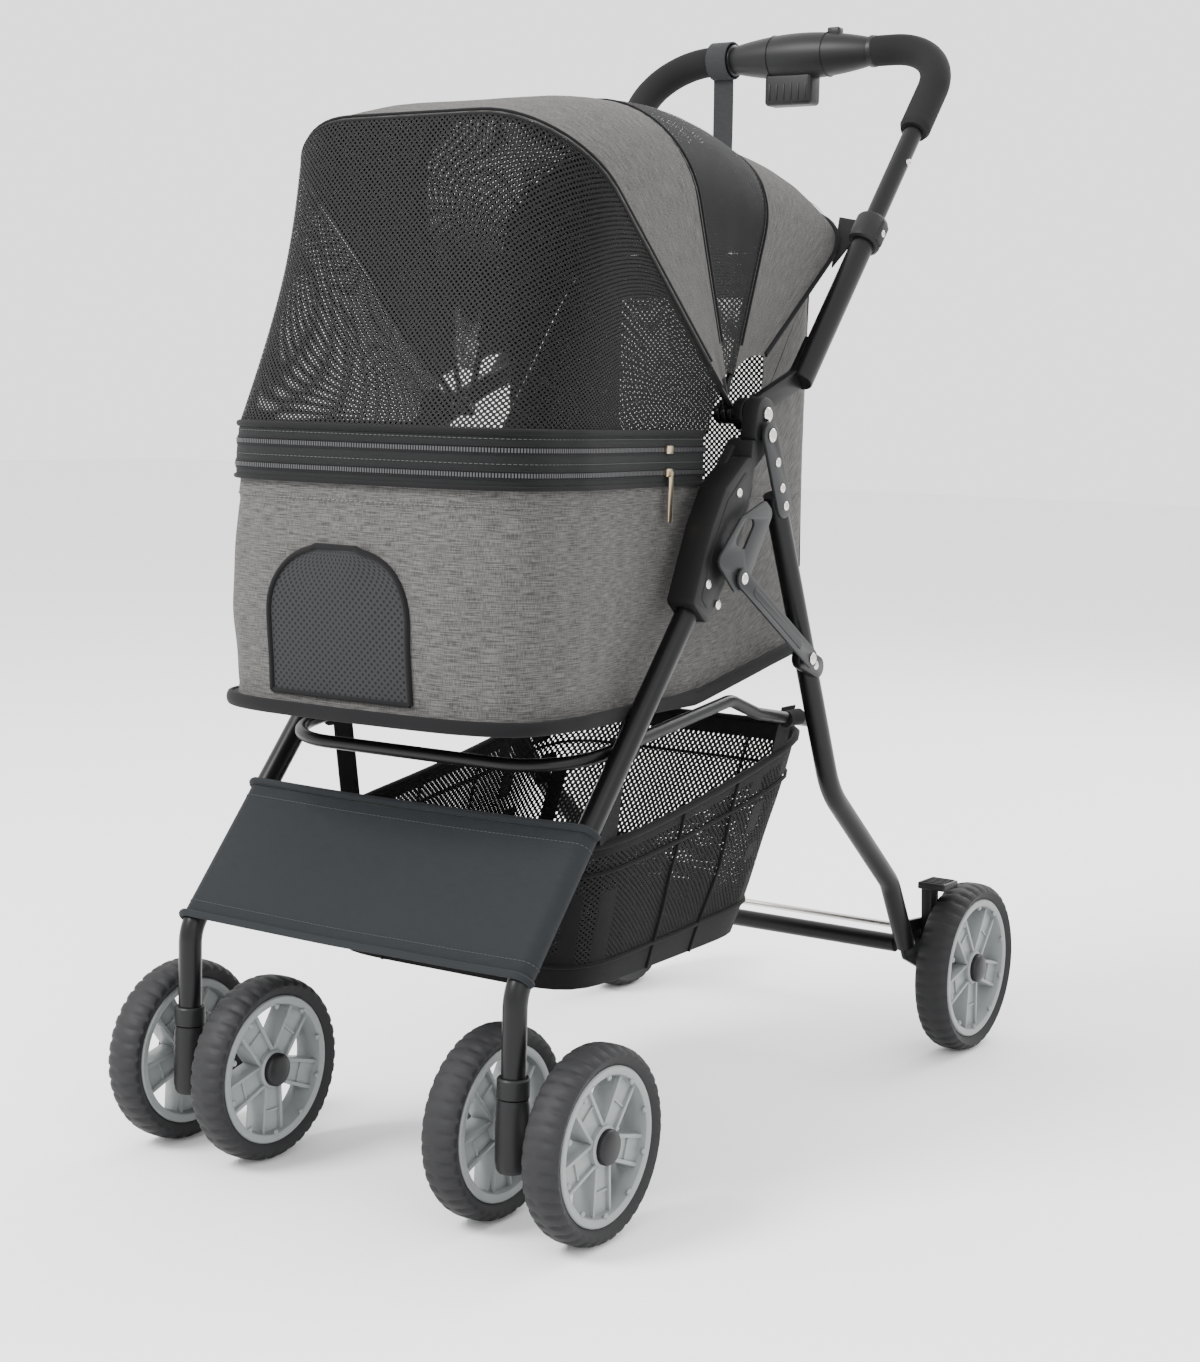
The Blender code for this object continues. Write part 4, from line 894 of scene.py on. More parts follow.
def build_front_frame():
    mesh = bmesh.new()
    for _, side in SIDES:
        x = side * CASTER_X
        route = [(x, CASTER_Y, 0.1126), (x, *LEG_BEND), (x, *LEG_TOP)]
        tube(mesh, bent(route, (0.035,)), LEG_R, 24)
    rise = (0.296 - LEG_BEND[1]) / (LEG_TOP[1] - LEG_BEND[1])
    y = LEG_BEND[0] + rise * (LEG_TOP[0] - LEG_BEND[0])
    tube(mesh, [(-CASTER_X, y, 0.296), (CASTER_X, y, 0.296)], 0.0070, 20)
    make("front_legs", mesh, "paint", "front_frame", ["front_leg_frame"])
    lower = [(-0.1415, 0.4500), (-0.0990, 0.5000), (-0.0800, 0.5450), (-0.0695, 0.5820), (-0.0820, 0.5860),
             (-0.1180, 0.5600), (-0.1370, 0.5300), (-0.1640, 0.4690)]
    ridge = [(-0.1420, 0.4620), (-0.1060, 0.5040), (-0.0870, 0.5470), (-0.0790, 0.5720), (-0.0880, 0.5730),
             (-0.1160, 0.5500), (-0.1310, 0.5240), (-0.1530, 0.4730)]
    web = [(-0.1100, 0.5050), (-0.0905, 0.5180), (-0.0480, 0.5500), (-0.0400, 0.5750), (-0.0420, 0.6000),
           (-0.0720, 0.6000), (-0.1000, 0.5700)]
    root = [(-0.0800, 0.5700), (-0.0540, 0.5880), (-0.0530, 0.5991), (-0.0765, 0.5987)]
    for name, side in SIDES:
        mesh = bmesh.new()
        plate(mesh, side, 0.1500, 0.1768, rounded(lower, 0.006), 0.0022)
        plate(mesh, side, 0.1755, 0.1774, rounded(ridge, 0.005), 0.0006)
        plate(mesh, side, 0.1505, 0.1598, rounded(web, 0.006), 0.0012)
        plate(mesh, side, 0.1510, 0.1765, root, 0.0010)
        plate(mesh, side, 0.1606, 0.1762, capsule(FOLD_PIVOT, REAR_PIVOT, 0.0145), 0.0018)
        make(f"fold_housing_{name}", mesh, "plastic", "front_frame", [f"hinge_housing_{name}"])
        mesh = bmesh.new()
        pin(mesh, side, 0.1290, 0.1796, FOLD_PIVOT, 0.0040, dome=0.0016)
        pin(mesh, side, 0.1765, 0.1798, FOLD_PIVOT, 0.0062, dome=0.0018)
        pin(mesh, side, 0.1700, 0.1850, REAR_PIVOT, 0.0040, dome=0.0012)
        pin(mesh, side, 0.1832, 0.1856, REAR_PIVOT, 0.0058, dome=0.0016)
        pin(mesh, side, 0.1700, 0.1875, HOOK_PIVOT, 0.0030, dome=0.0008)
        make(f"fold_pins_{name}", mesh, "steel", "front_frame")
        spots = [(side * 0.1776, y, z) for y, z in ((-0.1430, 0.4835), (-0.1270, 0.4660), (-0.0980, 0.5560))]
        rivets(f"housing_rivets_{name}", spots, 0.0040, 0.42, "steel", "front_frame")
    mesh = bmesh.new()
    hoop = [(x, y, HOOP_HEIGHT) for x, y, _, _ in cabin_line(-HOOP_INSET) if y < HOOP_END]
    tube(mesh, hoop, 0.0034, 12)
    make("rim_hoop", mesh, "paint", "front_frame", ["front_rim_hoop"])
    x, z = 0.1470, 0.3720
    rear = (0.098, z - 0.027)
    points = [(-x, *rear), (-x, -0.003, z - 0.010), (-x, -0.050, z + 0.006), (-x, -0.300, z - 0.026),
              (x, -0.300, z - 0.026), (x, -0.050, z + 0.006), (x, -0.003, z - 0.010), (x, *rear)]
    mesh = bmesh.new()
    tube(mesh, bent(points, (0.03, 0.03, 0.06, 0.06, 0.03, 0.03), 10), 0.0054, 18)
    make("basket_support", mesh, "paint", "front_frame", ["basket_hoop"])


def build_latches():
    hook = [(-0.0700, 0.5500), (-0.0560, 0.5400), (-0.0980, 0.4790), (-0.1160, 0.4760), (-0.1450, 0.5020),
            (-0.1280, 0.5190), (-0.1080, 0.5370)]
    gap = [(-0.1200, 0.5160), (-0.1010, 0.5360), (-0.0840, 0.5340), (-0.1030, 0.5100)]
    for name, side in SIDES:
        mesh = bmesh.new()
        plate(mesh, side, 0.1842, 0.1868, rounded(hook, 0.007), 0.0005,
              [circle(HOOK_PIVOT, 0.0034), rounded(gap, 0.004)])
        make(f"hook_{name}_plate", mesh, "plate", f"hook_{name}", [f"hook_plate_{name}"])
        mesh = bmesh.new()
        bar = capsule(HOOK_PIVOT, LINK_PIVOT, 0.0085)
        plate(mesh, side, 0.1878, 0.1903, bar, 0.0005, [circle(LINK_PIVOT, 0.0034)])
        start = (HOOK_PIVOT[0] + 0.020, HOOK_PIVOT[1] - 0.0123)
        end = (LINK_PIVOT[0] - 0.022, LINK_PIVOT[1] + 0.0135)
        plate(mesh, side, 0.1898, 0.1909, capsule(start, end, 0.0036), 0.0004)
        make(f"link_{name}_bar", mesh, "plate", f"link_{name}", [f"link_bar_{name}"])
        spot = (side * 0.1903, HOOK_PIVOT[0] + 0.001, HOOK_PIVOT[1])
        rivets(f"link_rivet_{name}", [spot], 0.0050, 0.4, "steel", f"link_{name}")


def build_rear_frame():
    top = (0.248, 0.120)
    bracket = [top, (0.260, 0.136), (0.300, 0.133), (0.316, 0.124), (0.3455, 0.0885), (0.3365, 0.0695),
               (0.3165, 0.0725), (0.260, 0.098)]
    for name, side in SIDES:
        x = side * REAR_LEG_X
        mesh = bmesh.new()
        tube(mesh, bent([(x, *p) for p in REAR_ROUTE], (0.09, 0.045), 14), LEG_R, 24)
        make(f"rear_leg_tube_{name}", mesh, "paint", "rear_frame", [f"rear_leg_{name}"])
        mesh = bmesh.new()
        plate(mesh, side, 0.1680, 0.1720, rounded(bracket, 0.008), 0.0006, [circle(BRAKE_PIVOT, 0.0034)])
        clip = capsule(LINK_PIVOT, (LINK_PIVOT[0] + 0.026, LINK_PIVOT[1] - 0.010), 0.0095)
        plate(mesh, side, 0.1745, 0.1830, clip, 0.0010)
        make(f"rear_bracket_{name}", mesh, "paint", "rear_frame")
        mesh = bmesh.new()
        hanger = capsule(REAR_PIVOT, (REAR_ROUTE[0][0] - 0.004, REAR_ROUTE[0][1] - 0.008), 0.0115)
        plate(mesh, side, 0.1798, 0.1830, hanger, 0.0006, [circle(REAR_PIVOT, 0.0044)])
        make(f"rear_hanger_{name}", mesh, "plate", "rear_frame", [f"rear_leg_plate_{name}"])
        mesh = bmesh.new()
        pin(mesh, side, 0.1690, 0.2123, REAR_AXLE, 0.0040)
        pin(mesh, side, 0.1722, 0.1770, REAR_AXLE, 0.0082)
        pin(mesh, side, 0.1770, 0.1912, LINK_PIVOT, 0.0030, dome=0.0008)
        pin(mesh, side, 0.1904, 0.1924, LINK_PIVOT, 0.0052, dome=0.0014)
        make(f"rear_axle_{name}", mesh, "steel", "rear_frame")
        spots = [(side * 0.1831, y, z) for y, z in ((-0.0450, 0.5805), (-0.0360, 0.5590), (-0.0290, 0.5440))]
        spots += [(side * 0.1721, 0.262, 0.112), (side * 0.1831, 0.0340, 0.4040)]
        rivets(f"rear_rivets_{name}", spots, 0.0040, 0.42, "steel", "rear_frame")
    mesh = bmesh.new()
    tube(mesh, [(-0.1602, 0.262, 0.112), (0.1602, 0.262, 0.112)], 0.0085, 24)
    make("rear_cross_tube", mesh, "paint", "rear_frame", ["rear_cross_bar"])
    y, z = BRAKE_PIVOT
    for name, side in SIDES:
        lever = [(y - 0.009, z - 0.008), (y + 0.009, z - 0.008), (y + 0.003, z + 0.0495),
                 (y - 0.014, z + 0.0495)]
        mesh = bmesh.new()
        plate(mesh, side, 0.1726, 0.1835, rounded(lever, 0.004), 0.0012)
        ends = sorted((side * 0.1736, side * 0.2025))
        block(mesh, (ends[0], y - 0.024, z + 0.0455), (ends[1], y + 0.007, z + 0.0525), 0.0016, segments=3)
        for k in range(5):
            at = y - 0.0205 + 0.0056 * k
            block(mesh, (ends[0] + 0.003, at, z + 0.0520), (ends[1] - 0.003, at + 0.0020, z + 0.0534), 0.0004)
        make(f"brake_pedal_{name}_part", mesh, "plastic", "brake", [f"brake_pedal_{name}"])
    mesh = bmesh.new()
    tube(mesh, [(-0.1720, y, z), (0.1720, y, z)], 0.0030, 16)
    make("brake_link_rod", mesh, "steel", "brake", ["brake_rod"])


# ---------------------------------------------------------------- handle

def handle_point(side, along, x=HANDLE_X):
    return Vector((side * x, *on_handle(along)))


def handle_line():
    corner = on_handle(HANDLE_REACH)
    points = [handle_point(-1, UPPER_BAR_FROM), (-HANDLE_X, *corner), (HANDLE_X, *corner),
              handle_point(1, UPPER_BAR_FROM)]
    return bent(points, (0.060, 0.060), 20)


def build_handle():
    for name, side in SIDES:
        mesh = bmesh.new()
        path = [handle_point(side, d) for d in (0.0, 0.001, 0.010, 0.090, 0.1795)]
        tube(mesh, path, (0.0095, 0.0104, 0.0105, 0.0105, 0.0105), 24)
        flat = bent([(*FOLD_PIVOT, 0), (*on_handle(0.004), 0), (*on_handle(0.045), 0)], (0.03,), 8)
        outline = []
        for sign in (1, -1):
            path = flat if sign == 1 else list(reversed(flat))
            for i, point in enumerate(path):
                along = (path[min(len(path) - 1, i + 1)] - path[max(0, i - 1)]).normalized()
                outline.append((point.x + along.y * 0.0088, point.y - along.x * 0.0088))
        plate(mesh, side, 0.1505, 0.1594, outline, 0.0010)
        knuckle = circle(FOLD_PIVOT, 0.0135, 32)
        plate(mesh, side, 0.1500, 0.1600, knuckle, 0.0012, [circle(FOLD_PIVOT, 0.0045)])
        make(f"handle_tube_{name}", mesh, "paint", "lower_handle", [f"lower_handle_{name}"])
        mesh = bmesh.new()
        path = [handle_point(side, d) for d in (0.1620, 0.1635, 0.1660, 0.1880, 0.1905, 0.1920)]
        tube(mesh, path, (0.0128, 0.0148, 0.0154, 0.0154, 0.0146, 0.0118), 32)
        lever = handle_point(side, 0.176)
        turn = Matrix.Translation(lever) @ Matrix.Rotation(HANDLE_RAKE, 4, "X")
        ends = sorted((side * 0.004, side * 0.0160))
        block(mesh, (ends[0], -0.012, -0.0060), (ends[1], 0.012, 0.0060), 0.0018, turn, 3)
        for vert in mesh.verts:
            vert.co.x = side * max(abs(vert.co.x), 0.1499)
        make(f"clamp_{name}", mesh, "plastic", "lower_handle", [f"handle_clamp_{name}"])
        screw = lever + Vector((side * 0.0160, 0, 0))
        rivets(f"clamp_screw_{name}", [screw], 0.0032, 0.35, "steel", "lower_handle")
        mesh = bmesh.new()
        at = on_handle(0.266)
        pin(mesh, side, HANDLE_X + 0.0040, HANDLE_X + 0.0112, at, 0.0030, 20, dome=0.0012)
        make(f"button_{name}", mesh, "steel", f"snap_button_{name}", [f"snap_button_{name}"])
        mesh = bmesh.new()
        line = [p for p in handle_line()[1:-1] if p.x * side > 0]
        if side == -1:
            line.reverse()
        bar_end = Vector((side * 0.0768, *on_handle(HANDLE_REACH)))
        line = resampled([bar_end, *line, handle_point(side, 0.306)], 70)
        radii = [0.0145 - 0.0022 * max(0.0, 1 - i / 2.0) - 0.0022 * max(0.0, 1 - (69 - i) / 2.0)
                 for i in range(70)]
        tube(mesh, line, radii, 28)
        grip = make(f"grip_{name}", mesh, "foam", "upper_handle", [f"foam_grip_{name}"])
        mesh = bmesh.new()
        y, z = on_handle(HANDLE_REACH)
        collar = ((0.0135, 0.0752), (0.0152, 0.0762), (0.0152, 0.0800), (0.0140, 0.0812))
        lathe(mesh, [(r, side * x) for r, x in collar], (0, y, z), 40)
        make(f"grip_collar_{name}", mesh, "hub", "upper_handle")
    mesh = bmesh.new()
    tube(mesh, resampled(handle_line(), 160), UPPER_BAR_R, 24)
    make("upper_bar", mesh, "paint", "upper_handle", ["upper_handle"])
    y, z = on_handle(HANDLE_REACH)
    mesh = bmesh.new()
    profile = []
    for k in range(33):
        t = -1 + 2 * k / 32
        profile.append((0.0132 + 0.0090 * math.cos(t * math.pi / 2) ** 0.85, 0.0750 * t))
    lathe(mesh, profile, (0, y, z), 56)
    for along in (-0.030, 0.030):
        lathe(mesh, [(0.0205, along - 0.0006), (0.0216, along), (0.0205, along + 0.0006)], (0, y, z), 56)
    make("release_body", mesh, "plastic", "upper_handle", ["release_housing"])
    mesh = bmesh.new()
    block(mesh, (-0.0360, y - 0.0110, z - 0.0477), (0.0160, y + 0.0110, z - 0.0167), 0.0042, segments=4)
    for k in range(6):
        at = -0.0310 + 0.0080 * k
        block(mesh, (at, y - 0.0116, z - 0.0430), (at + 0.0022, y - 0.0104, z - 0.0270), 0.0004)
    make("trigger", mesh, "plastic", "fold_trigger", ["fold_trigger"])
    mesh = bmesh.new()
    low = z + 0.0222 * 0.72 + 0.0006
    block(mesh, (0.0290, y - 0.0050, low), (0.0420, y + 0.0050, z + 0.0250), 0.0014, segments=3)
    make("slider", mesh, "hub", "safety_slider", ["safety_slider"])
    build_strap(y, z)


def build_strap(y, z):
    """The webbing looped round the left grip, its tail hanging behind the canopy."""
    across = [STRAP_LEFT + STRAP_WIDTH * j / 6 for j in range(7)]
    mesh = bmesh.new()
    rows = []
    for k in range(41):
        turn = math.radians(-90 + 9 * k)
        at = (y + STRAP_LOOP_R * math.cos(turn), z + STRAP_LOOP_R * math.sin(turn))
        rows.append([Vector((x, *at)) for x in across])
    cloth_grid(mesh, rows, WEBBING)
    rows = []
    for k in range(31):
        t = k / 30
        sway = 0.0016 * math.sin(t * 5.2)
        rows.append([Vector((x, y + 0.0007 + sway, z - 0.0165 - STRAP_DROP * t)) for x in across])
    cloth_grid(mesh, rows, WEBBING)
    strap = make("strap", mesh, "strap", "wrist_strap", ["wrist_strap"])


# ---------------------------------------------------------------- cabin

def front_share(y):
    return min(1.0, max(0.0, (-0.190 - y) / 0.080))


def wall_out(y, t):
    """How far the wall stands out from the base's outline at a share of its height."""
    bulge = (0.0006 + 0.0050 * front_share(y)) * math.sin(math.pi * min(1.0, t * 1.02))
    return -WALL_INSET + 0.0042 * max(0.0, 1 - t / 0.05) ** 1.5 + bulge


def wall_point(at, t, index, extra=0.0):
    _, sizes = settings()
    x, y, nx, ny = at
    low, high = base_top(y) - 0.0035, wall_top(y)
    z = low + (high - low) * t
    front, middle = front_share(y), math.sin(math.pi * min(1.0, max(0.0, t))) ** 0.6
    fold = ripple((index * 0.085, t * 1.1, 3.0), (1, 1, 1))
    fold += 0.45 * ripple((index * 0.24, t * 3.2, 9.0), (1, 1, 1))
    fold += 0.35 * ripple((x, y, z), (38, 38, 26), 5.0)
    push = sizes.wrinkle * fold * middle * (0.45 + 0.55 * front)
    if abs(x) > 0.115 and y > -0.235:
        push = min(push, 0.0) - 0.0003
    hem = 0.0016 if z > 0.5455 and y < 0.1 else 0.0
    out = wall_out(y, t) + push + hem + extra
    return Vector((x + nx * out, y + ny * out, z))


def front_spot(x, z, extra):
    """A point on the front wall at a distance across and a height."""
    line = [(i, p) for i, p in enumerate(cabin_line(0.0)) if p[1] < -0.3]
    for (i, a), (_, b) in zip(line, line[1:]):
        if min(a[0], b[0]) <= x <= max(a[0], b[0]) and a[0] != b[0]:
            share = (x - a[0]) / (b[0] - a[0])
            at = tuple(p + (q - p) * share for p, q in zip(a, b))
            t = (z - WALL_LOW) / (RIM_HEIGHT - WALL_LOW)
            return wall_point(at, t, i + share, extra)
    raise ValueError("that place isn't on the front wall")


def build_cabin():
    line = cabin_line(0.0)
    board = frame["nodes"]["floor_board"]
    board.data.materials.clear()
    board.data.materials.append(FINISHES["black_cloth"])
    mesh = bmesh.new()
    steps = 34
    rows = [[wall_point(at, k / steps, i) for i, at in enumerate(line)] for k in range(steps + 1)]
    cloth_grid(mesh, [list(reversed(r)) for r in rows], WALL_CLOTH, closed=True)
    window = [f for f in mesh.faces if rear_window(f.calc_center_median())]
    bmesh.ops.delete(mesh, geom=window, context="FACES")
    bmesh.ops.bridge_loops(mesh, edges=[e for e in mesh.edges if len(e.link_faces) == 1])
    walls = make("cabin_cloth", mesh, "cloth", "front_frame", ["cabin_walls"], sharp=60)
    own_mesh(walls)
    build_rear_window(line)
    mesh = bmesh.new()
    edge = [Vector((x, y, base_top(y) - 0.0042)) for x, y, _, _ in cabin_line(0.0004)]
    flat_ring(mesh, edge, 0.0030, 0.0056)
    make("base_binding", mesh, "binding", "front_frame")
    stitches = []
    for z in (0.5480, 0.5600):
        path = []
        for i, at in enumerate(line):
            if at[1] > 0.095:
                continue
            t = (z - base_top(at[1]) + 0.0035) / (wall_top(at[1]) - base_top(at[1]) + 0.0035)
            path.append(wall_point(at, t, i, 0.0003))
        stitches.append(path)
    row("cabin_stitches", stitches, 0.0046, (0.0030, 0.0005, 0.0005), "thread", "front_frame")
    build_front_window()
    build_mat()


def flat_ring(mesh, points, depth, height):
    """Adds a closed binding with a rounded section along a level loop of points."""
    section = [(math.cos(2 * math.pi * k / 12), math.sin(2 * math.pi * k / 12)) for k in range(12)]
    rings, count = [], len(points)
    for i, point in enumerate(points):
        along = (points[(i + 1) % count] - points[i - 1]).normalized()
        out = Vector((-along.y, along.x, 0)).normalized()
        ring = [point + out * (c * depth) + Vector((0, 0, s * height)) for c, s in section]
        rings.append([mesh.verts.new(spot) for spot in ring])
    made = []
    for i in range(count):
        low, high = rings[i], rings[(i + 1) % count]
        for k in range(12):
            j = (k + 1) % 12
            made.append(mesh.faces.new((low[k], low[j], high[j], high[k])))
    bmesh.ops.recalc_face_normals(mesh, faces=made)


def rear_window(point):
    return point.y > 0.105 and abs(point.x) < 0.090 and 0.490 < point.z < 0.722


def build_rear_window(line):
    mesh = bmesh.new()
    back = sorted((at for at in line if at[1] > 0.10 and abs(at[0]) < 0.118), key=lambda p: -p[0])
    rows = []
    for k in range(13):
        z = 0.482 + 0.248 * k / 12
        out = -WALL_INSET + 0.0030 - 0.0020 * math.sin(math.pi * k / 12)
        rows.append([Vector((x + nx * out, y + ny * out, z)) for x, y, nx, ny in back])
    if (rows[0][1] - rows[0][0]).cross(rows[1][0] - rows[0][0]).y < 0:
        rows = [list(reversed(r)) for r in rows]
    cloth_grid(mesh, rows, 0.0006)
    make("rear_window_mesh", mesh, "basket_mesh", "front_frame")
    mesh = bmesh.new()
    loop = rows[0] + [r[-1] for r in rows[1:]]
    loop += list(reversed(rows[-1]))[1:] + [r[0] for r in reversed(rows[:-1])]
    tube(mesh, loop, 0.0030, 10)
    make("rear_window_binding", mesh, "binding", "front_frame")


def build_front_window():
    """The arched mesh window in the front wall, with a bound edge."""
    centre, half, low, spring, top = -0.013, 0.070, 0.3960, 0.4480, 0.5120
    heights = [low + (spring - low) * k / 6 for k in range(6)]
    heights += [spring + (top - spring) * math.sin(math.pi / 2 * k / 14) for k in range(15)]
    rows, left, right = [], [], []
    for z in heights:
        share = max(0.0, (z - spring) / (top - spring))
        wide = half * max(0.06, 1 - share**2.5) ** 0.4
        line = [front_spot(centre + wide * (2 * k / 24 - 1), z, 0.0012) for k in range(25)]
        rows.append(line)
        left.append(line[0])
        right.append(line[-1])
    mesh = bmesh.new()
    cloth_grid(mesh, rows, 0.0008)
    # This mesh's holes carry painted shade, near-black, for the shaded inside of the cabin.
    make("front_window_mesh", mesh, "dense_mesh", "front_frame")
    mesh = bmesh.new()
    tube(mesh, resampled(left + list(reversed(right)), 90), 0.0024, 10)
    tube(mesh, rows[0], 0.0020, 10)
    make("front_window_binding", mesh, "binding", "front_frame")


def build_mat():
    """The padded mat that lies on the base board."""
    line = cabin_line(-0.0210)
    mesh = bmesh.new()
    rows = []
    for inset, rise in ((0.006, 0.0012), (0.0, 0.006), (0.0, 0.013), (0.004, 0.018), (0.014, 0.0195),
                        (0.040, 0.0192), (0.075, 0.0188), (0.110, 0.0190)):
        ring = []
        for x, y, nx, ny in line:
            px, py = x - nx * inset, y - ny * inset
            puff = 0.0012 * ripple((px, py, 0.0), (24, 24, 1), 2.0) if rise > 0.012 else 0.0
            ring.append(Vector((px, py, base_top(py) + rise + puff)))
        rows.append(ring)
    rings = [[mesh.verts.new(p) for p in ring] for ring in rows]
    made = []
    for low, high in zip(rings, rings[1:]):
        for k in range(len(low)):
            j = (k + 1) % len(low)
            made.append(mesh.faces.new((low[k], low[j], high[j], high[k])))
    made.append(mesh.faces.new(list(reversed(rings[0]))))
    made.append(mesh.faces.new(rings[-1]))
    bmesh.ops.recalc_face_normals(mesh, faces=made)
    bmesh.ops.triangulate(mesh, faces=[f for f in made if len(f.verts) > 4])
    mat = make("mat_cushion", mesh, "band", "floor_mat", ["floor_mat"], sharp=60)


def build_band():
    """The zip band round the cabin's rim, with two rows of teeth, piping and two pulls."""
    path = [at for at in cabin_line(0.0) if at[1] < -0.080]

    def spot(at, z, extra=0.0):
        share = (z - BAND_LOW) / (BAND_HIGH - BAND_LOW)
        out = -WALL_INSET + 0.0026 + 0.0012 * math.sin(math.pi * share)
        out += 0.0022 * front_share(at[1]) * (1 - share) + extra
        return Vector((at[0] + at[2] * out, at[1] + at[3] * out, z))

    mesh = bmesh.new()
    rows = [[spot(at, 0.5615 + 0.0415 * k / 10) for at in path] for k in range(11)]
    cloth_grid(mesh, [list(reversed(r)) for r in rows], 0.0018)
    band = make("rim_band", mesh, "band", "front_frame", ["zip_band"], sharp=60)
    mesh = bmesh.new()
    for z, radius in ((0.6035, 0.0026), (0.5620, 0.0019)):
        tube(mesh, [spot(at, z, 0.0002) for at in path], radius, 10)
    for z in (0.5690, 0.5745, 0.5875, 0.5930):
        tube(mesh, [spot(at, z, -0.0002) for at in path], 0.0010, 8)
    make("rim_piping", mesh, "binding", "front_frame")
    lines = [[spot(at, z, 0.0004) for at in path] for z in (0.5718, 0.5902)]
    row("rim_zip_teeth", lines, 0.0024, (0.0014, 0.0014, 0.0034), "zip_tooth", "front_frame")
    lines = [[spot(at, z, 0.0003) for at in path] for z in (0.5800, 0.5985)]
    row("rim_stitches", lines, 0.0042, (0.0028, 0.0005, 0.0005), "dark_thread", "front_frame")
    for side in (-1, 1):
        mesh = bmesh.new()
        at = min((p for p in path if p[0] * side > 0), key=lambda p: abs(p[1] + 0.155))
        for z in (0.5902, 0.5718):
            base = spot(at, z, 0.0022)
            half = Vector((0.0018, 0.0046, 0.0034))
            block(mesh, base - half, base + half, 0.0010)
        base = spot(at, 0.5718, 0.0046)
        low, high = Vector((-0.0007, -0.0032, -0.0400)), Vector((0.0007, 0.0032, -0.0030))
        block(mesh, base + low, base + high, 0.0006)
        lathe(mesh, [(0.0024, base.x - 0.0010), (0.0024, base.x + 0.0010)], (0, base.y, base.z - 0.0010), 12)
        name = "left" if side < 0 else "right"
        make(f"zip_pulls_{name}", mesh, "brass", "front_frame")


# ---------------------------------------------------------------- canopy

def bow_share(first, second, v, sag, start, grow=0.0042, count=61):
    """The cloth's line between two bows: v runs from 0 at the first to 1 at the second."""
    (a1, r1, h1), (a2, r2, h2) = first, second
    dip = sag * 4 * v * (1 - v)
    angle, reach, half = a1 + (a2 - a1) * v, r1 + (r2 - r1) * v - dip, h1 + (h2 - h1) * v - dip * 0.10
    points = arch(angle, reach, half, start, grow, count)
    _, sizes = settings()
    moved = []
    for i, p in enumerate(points):
        s = abs(2 * i / (count - 1) - 1)
        edge = math.sin(math.pi * v)
        fold = ripple((i * 0.16, v * 2.5, a1), (1, 1, 1)) + 0.5 * ripple((p.x, p.y, p.z), (30, 30, 30), a1)
        push = sizes.wrinkle * 0.55 * fold * edge * (0.35 + 0.65 * s)
        out = Vector((p.x * 0.6, p.y - FOLD_PIVOT[0], p.z - FOLD_PIVOT[1])).normalized()
        if s > 0.55:
            push = min(0.0, push)
        moved.append(p + out * push)
    return moved


def build_bows():
    for name, body in (("front", "canopy_front"), ("middle", "canopy_middle"), ("rear", "front_frame")):
        angle, reach, half = BOWS[name]
        mesh = bmesh.new()
        tube(mesh, arch(angle, reach, half, 0.0078, count=90), 0.0027, 12)
        for _, side in SIDES:
            plate(mesh, side, half - 0.0024, half + 0.0024, circle(FOLD_PIVOT, 0.0088, 24), 0.0006,
                  [circle(FOLD_PIVOT, 0.0047)])
        make(f"bow_{name}", mesh, "paint", body, [f"canopy_bow_{name}"])
        mesh = bmesh.new()
        sleeve = arch(angle, reach, half, 0.062, 0.0038, 90)
        lean = math.radians(angle)
        for shift in (-0.0024, 0.0024):
            move = Vector((0, -math.sin(lean), math.cos(lean))) * shift
            tube(mesh, [p + move for p in sleeve], 0.0013, 8)
        make(f"bow_{name}_piping", mesh, "binding", body)


def panel(first, second, sag=0.006, start=0.034, rows=15):
    """The cloth between two bows, as a mesh."""
    mesh = bmesh.new()
    grid = [bow_share(BOWS[first], BOWS[second], k / rows, sag, start) for k in range(rows + 1)]
    cloth_grid(mesh, grid, CANOPY_CLOTH)
    return mesh


def build_canopy():
    build_bows()
    front = make("front_panel", panel("front", "middle"), "cloth", None,
                 ["canopy_front_panel"], sharp=60)
    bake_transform(front)
    sky = make("sky_panel", panel("middle", "rear"), "mesh", None,
               ["canopy_sky_mesh"], sharp=60)
    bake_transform(sky)
    build_rear_panel()
    build_front_mesh()
    build_gussets()


def build_rear_panel():
    last = (38.0, 0.302, 0.1325)
    grid = []
    for k in range(15):
        v = k / 14
        grid.append(bow_share(BOWS["rear"], last, v, 0.003, 0.034 + 0.046 * v, 0.0036))
    wall = [at for at in cabin_line(-WALL_INSET + 0.0012) if at[1] > 0.004]
    left = sorted((p for p in wall if p[0] < 0), key=lambda p: (p[1], p[0]))
    right = sorted((p for p in wall if p[0] >= 0), key=lambda p: (-p[1], p[0]))
    rim = resampled([(x, y, wall_top(y) + 0.002) for x, y, _, _ in left + right], 61)
    start = grid[-1]
    for k in range(1, 9):
        v = k / 8
        line = []
        for a, b in zip(start, rim):
            point = a.lerp(b, v)
            point.y += 0.010 * math.sin(math.pi * v) * (1 if a.z > 0.74 else 0.2)
            line.append(point)
        grid.append(line)
    mesh = bmesh.new()
    cloth_grid(mesh, grid, CANOPY_CLOTH)
    rear = make("rear_panel", mesh, "cloth", "front_frame", ["canopy_rear_panel"], sharp=60)
    mesh = bmesh.new()
    tube(mesh, [p + Vector((0, 0.0012, 0.0012)) for p in start], 0.0024, 10)
    make("rear_panel_piping", mesh, "binding", "front_frame")
    lines = [[p + Vector((0, 0.0008, 0.0014)) for p in grid[12]]]
    row("rear_panel_stitches", lines, 0.0046, (0.0030, 0.0005, 0.0005), "thread", "front_frame")


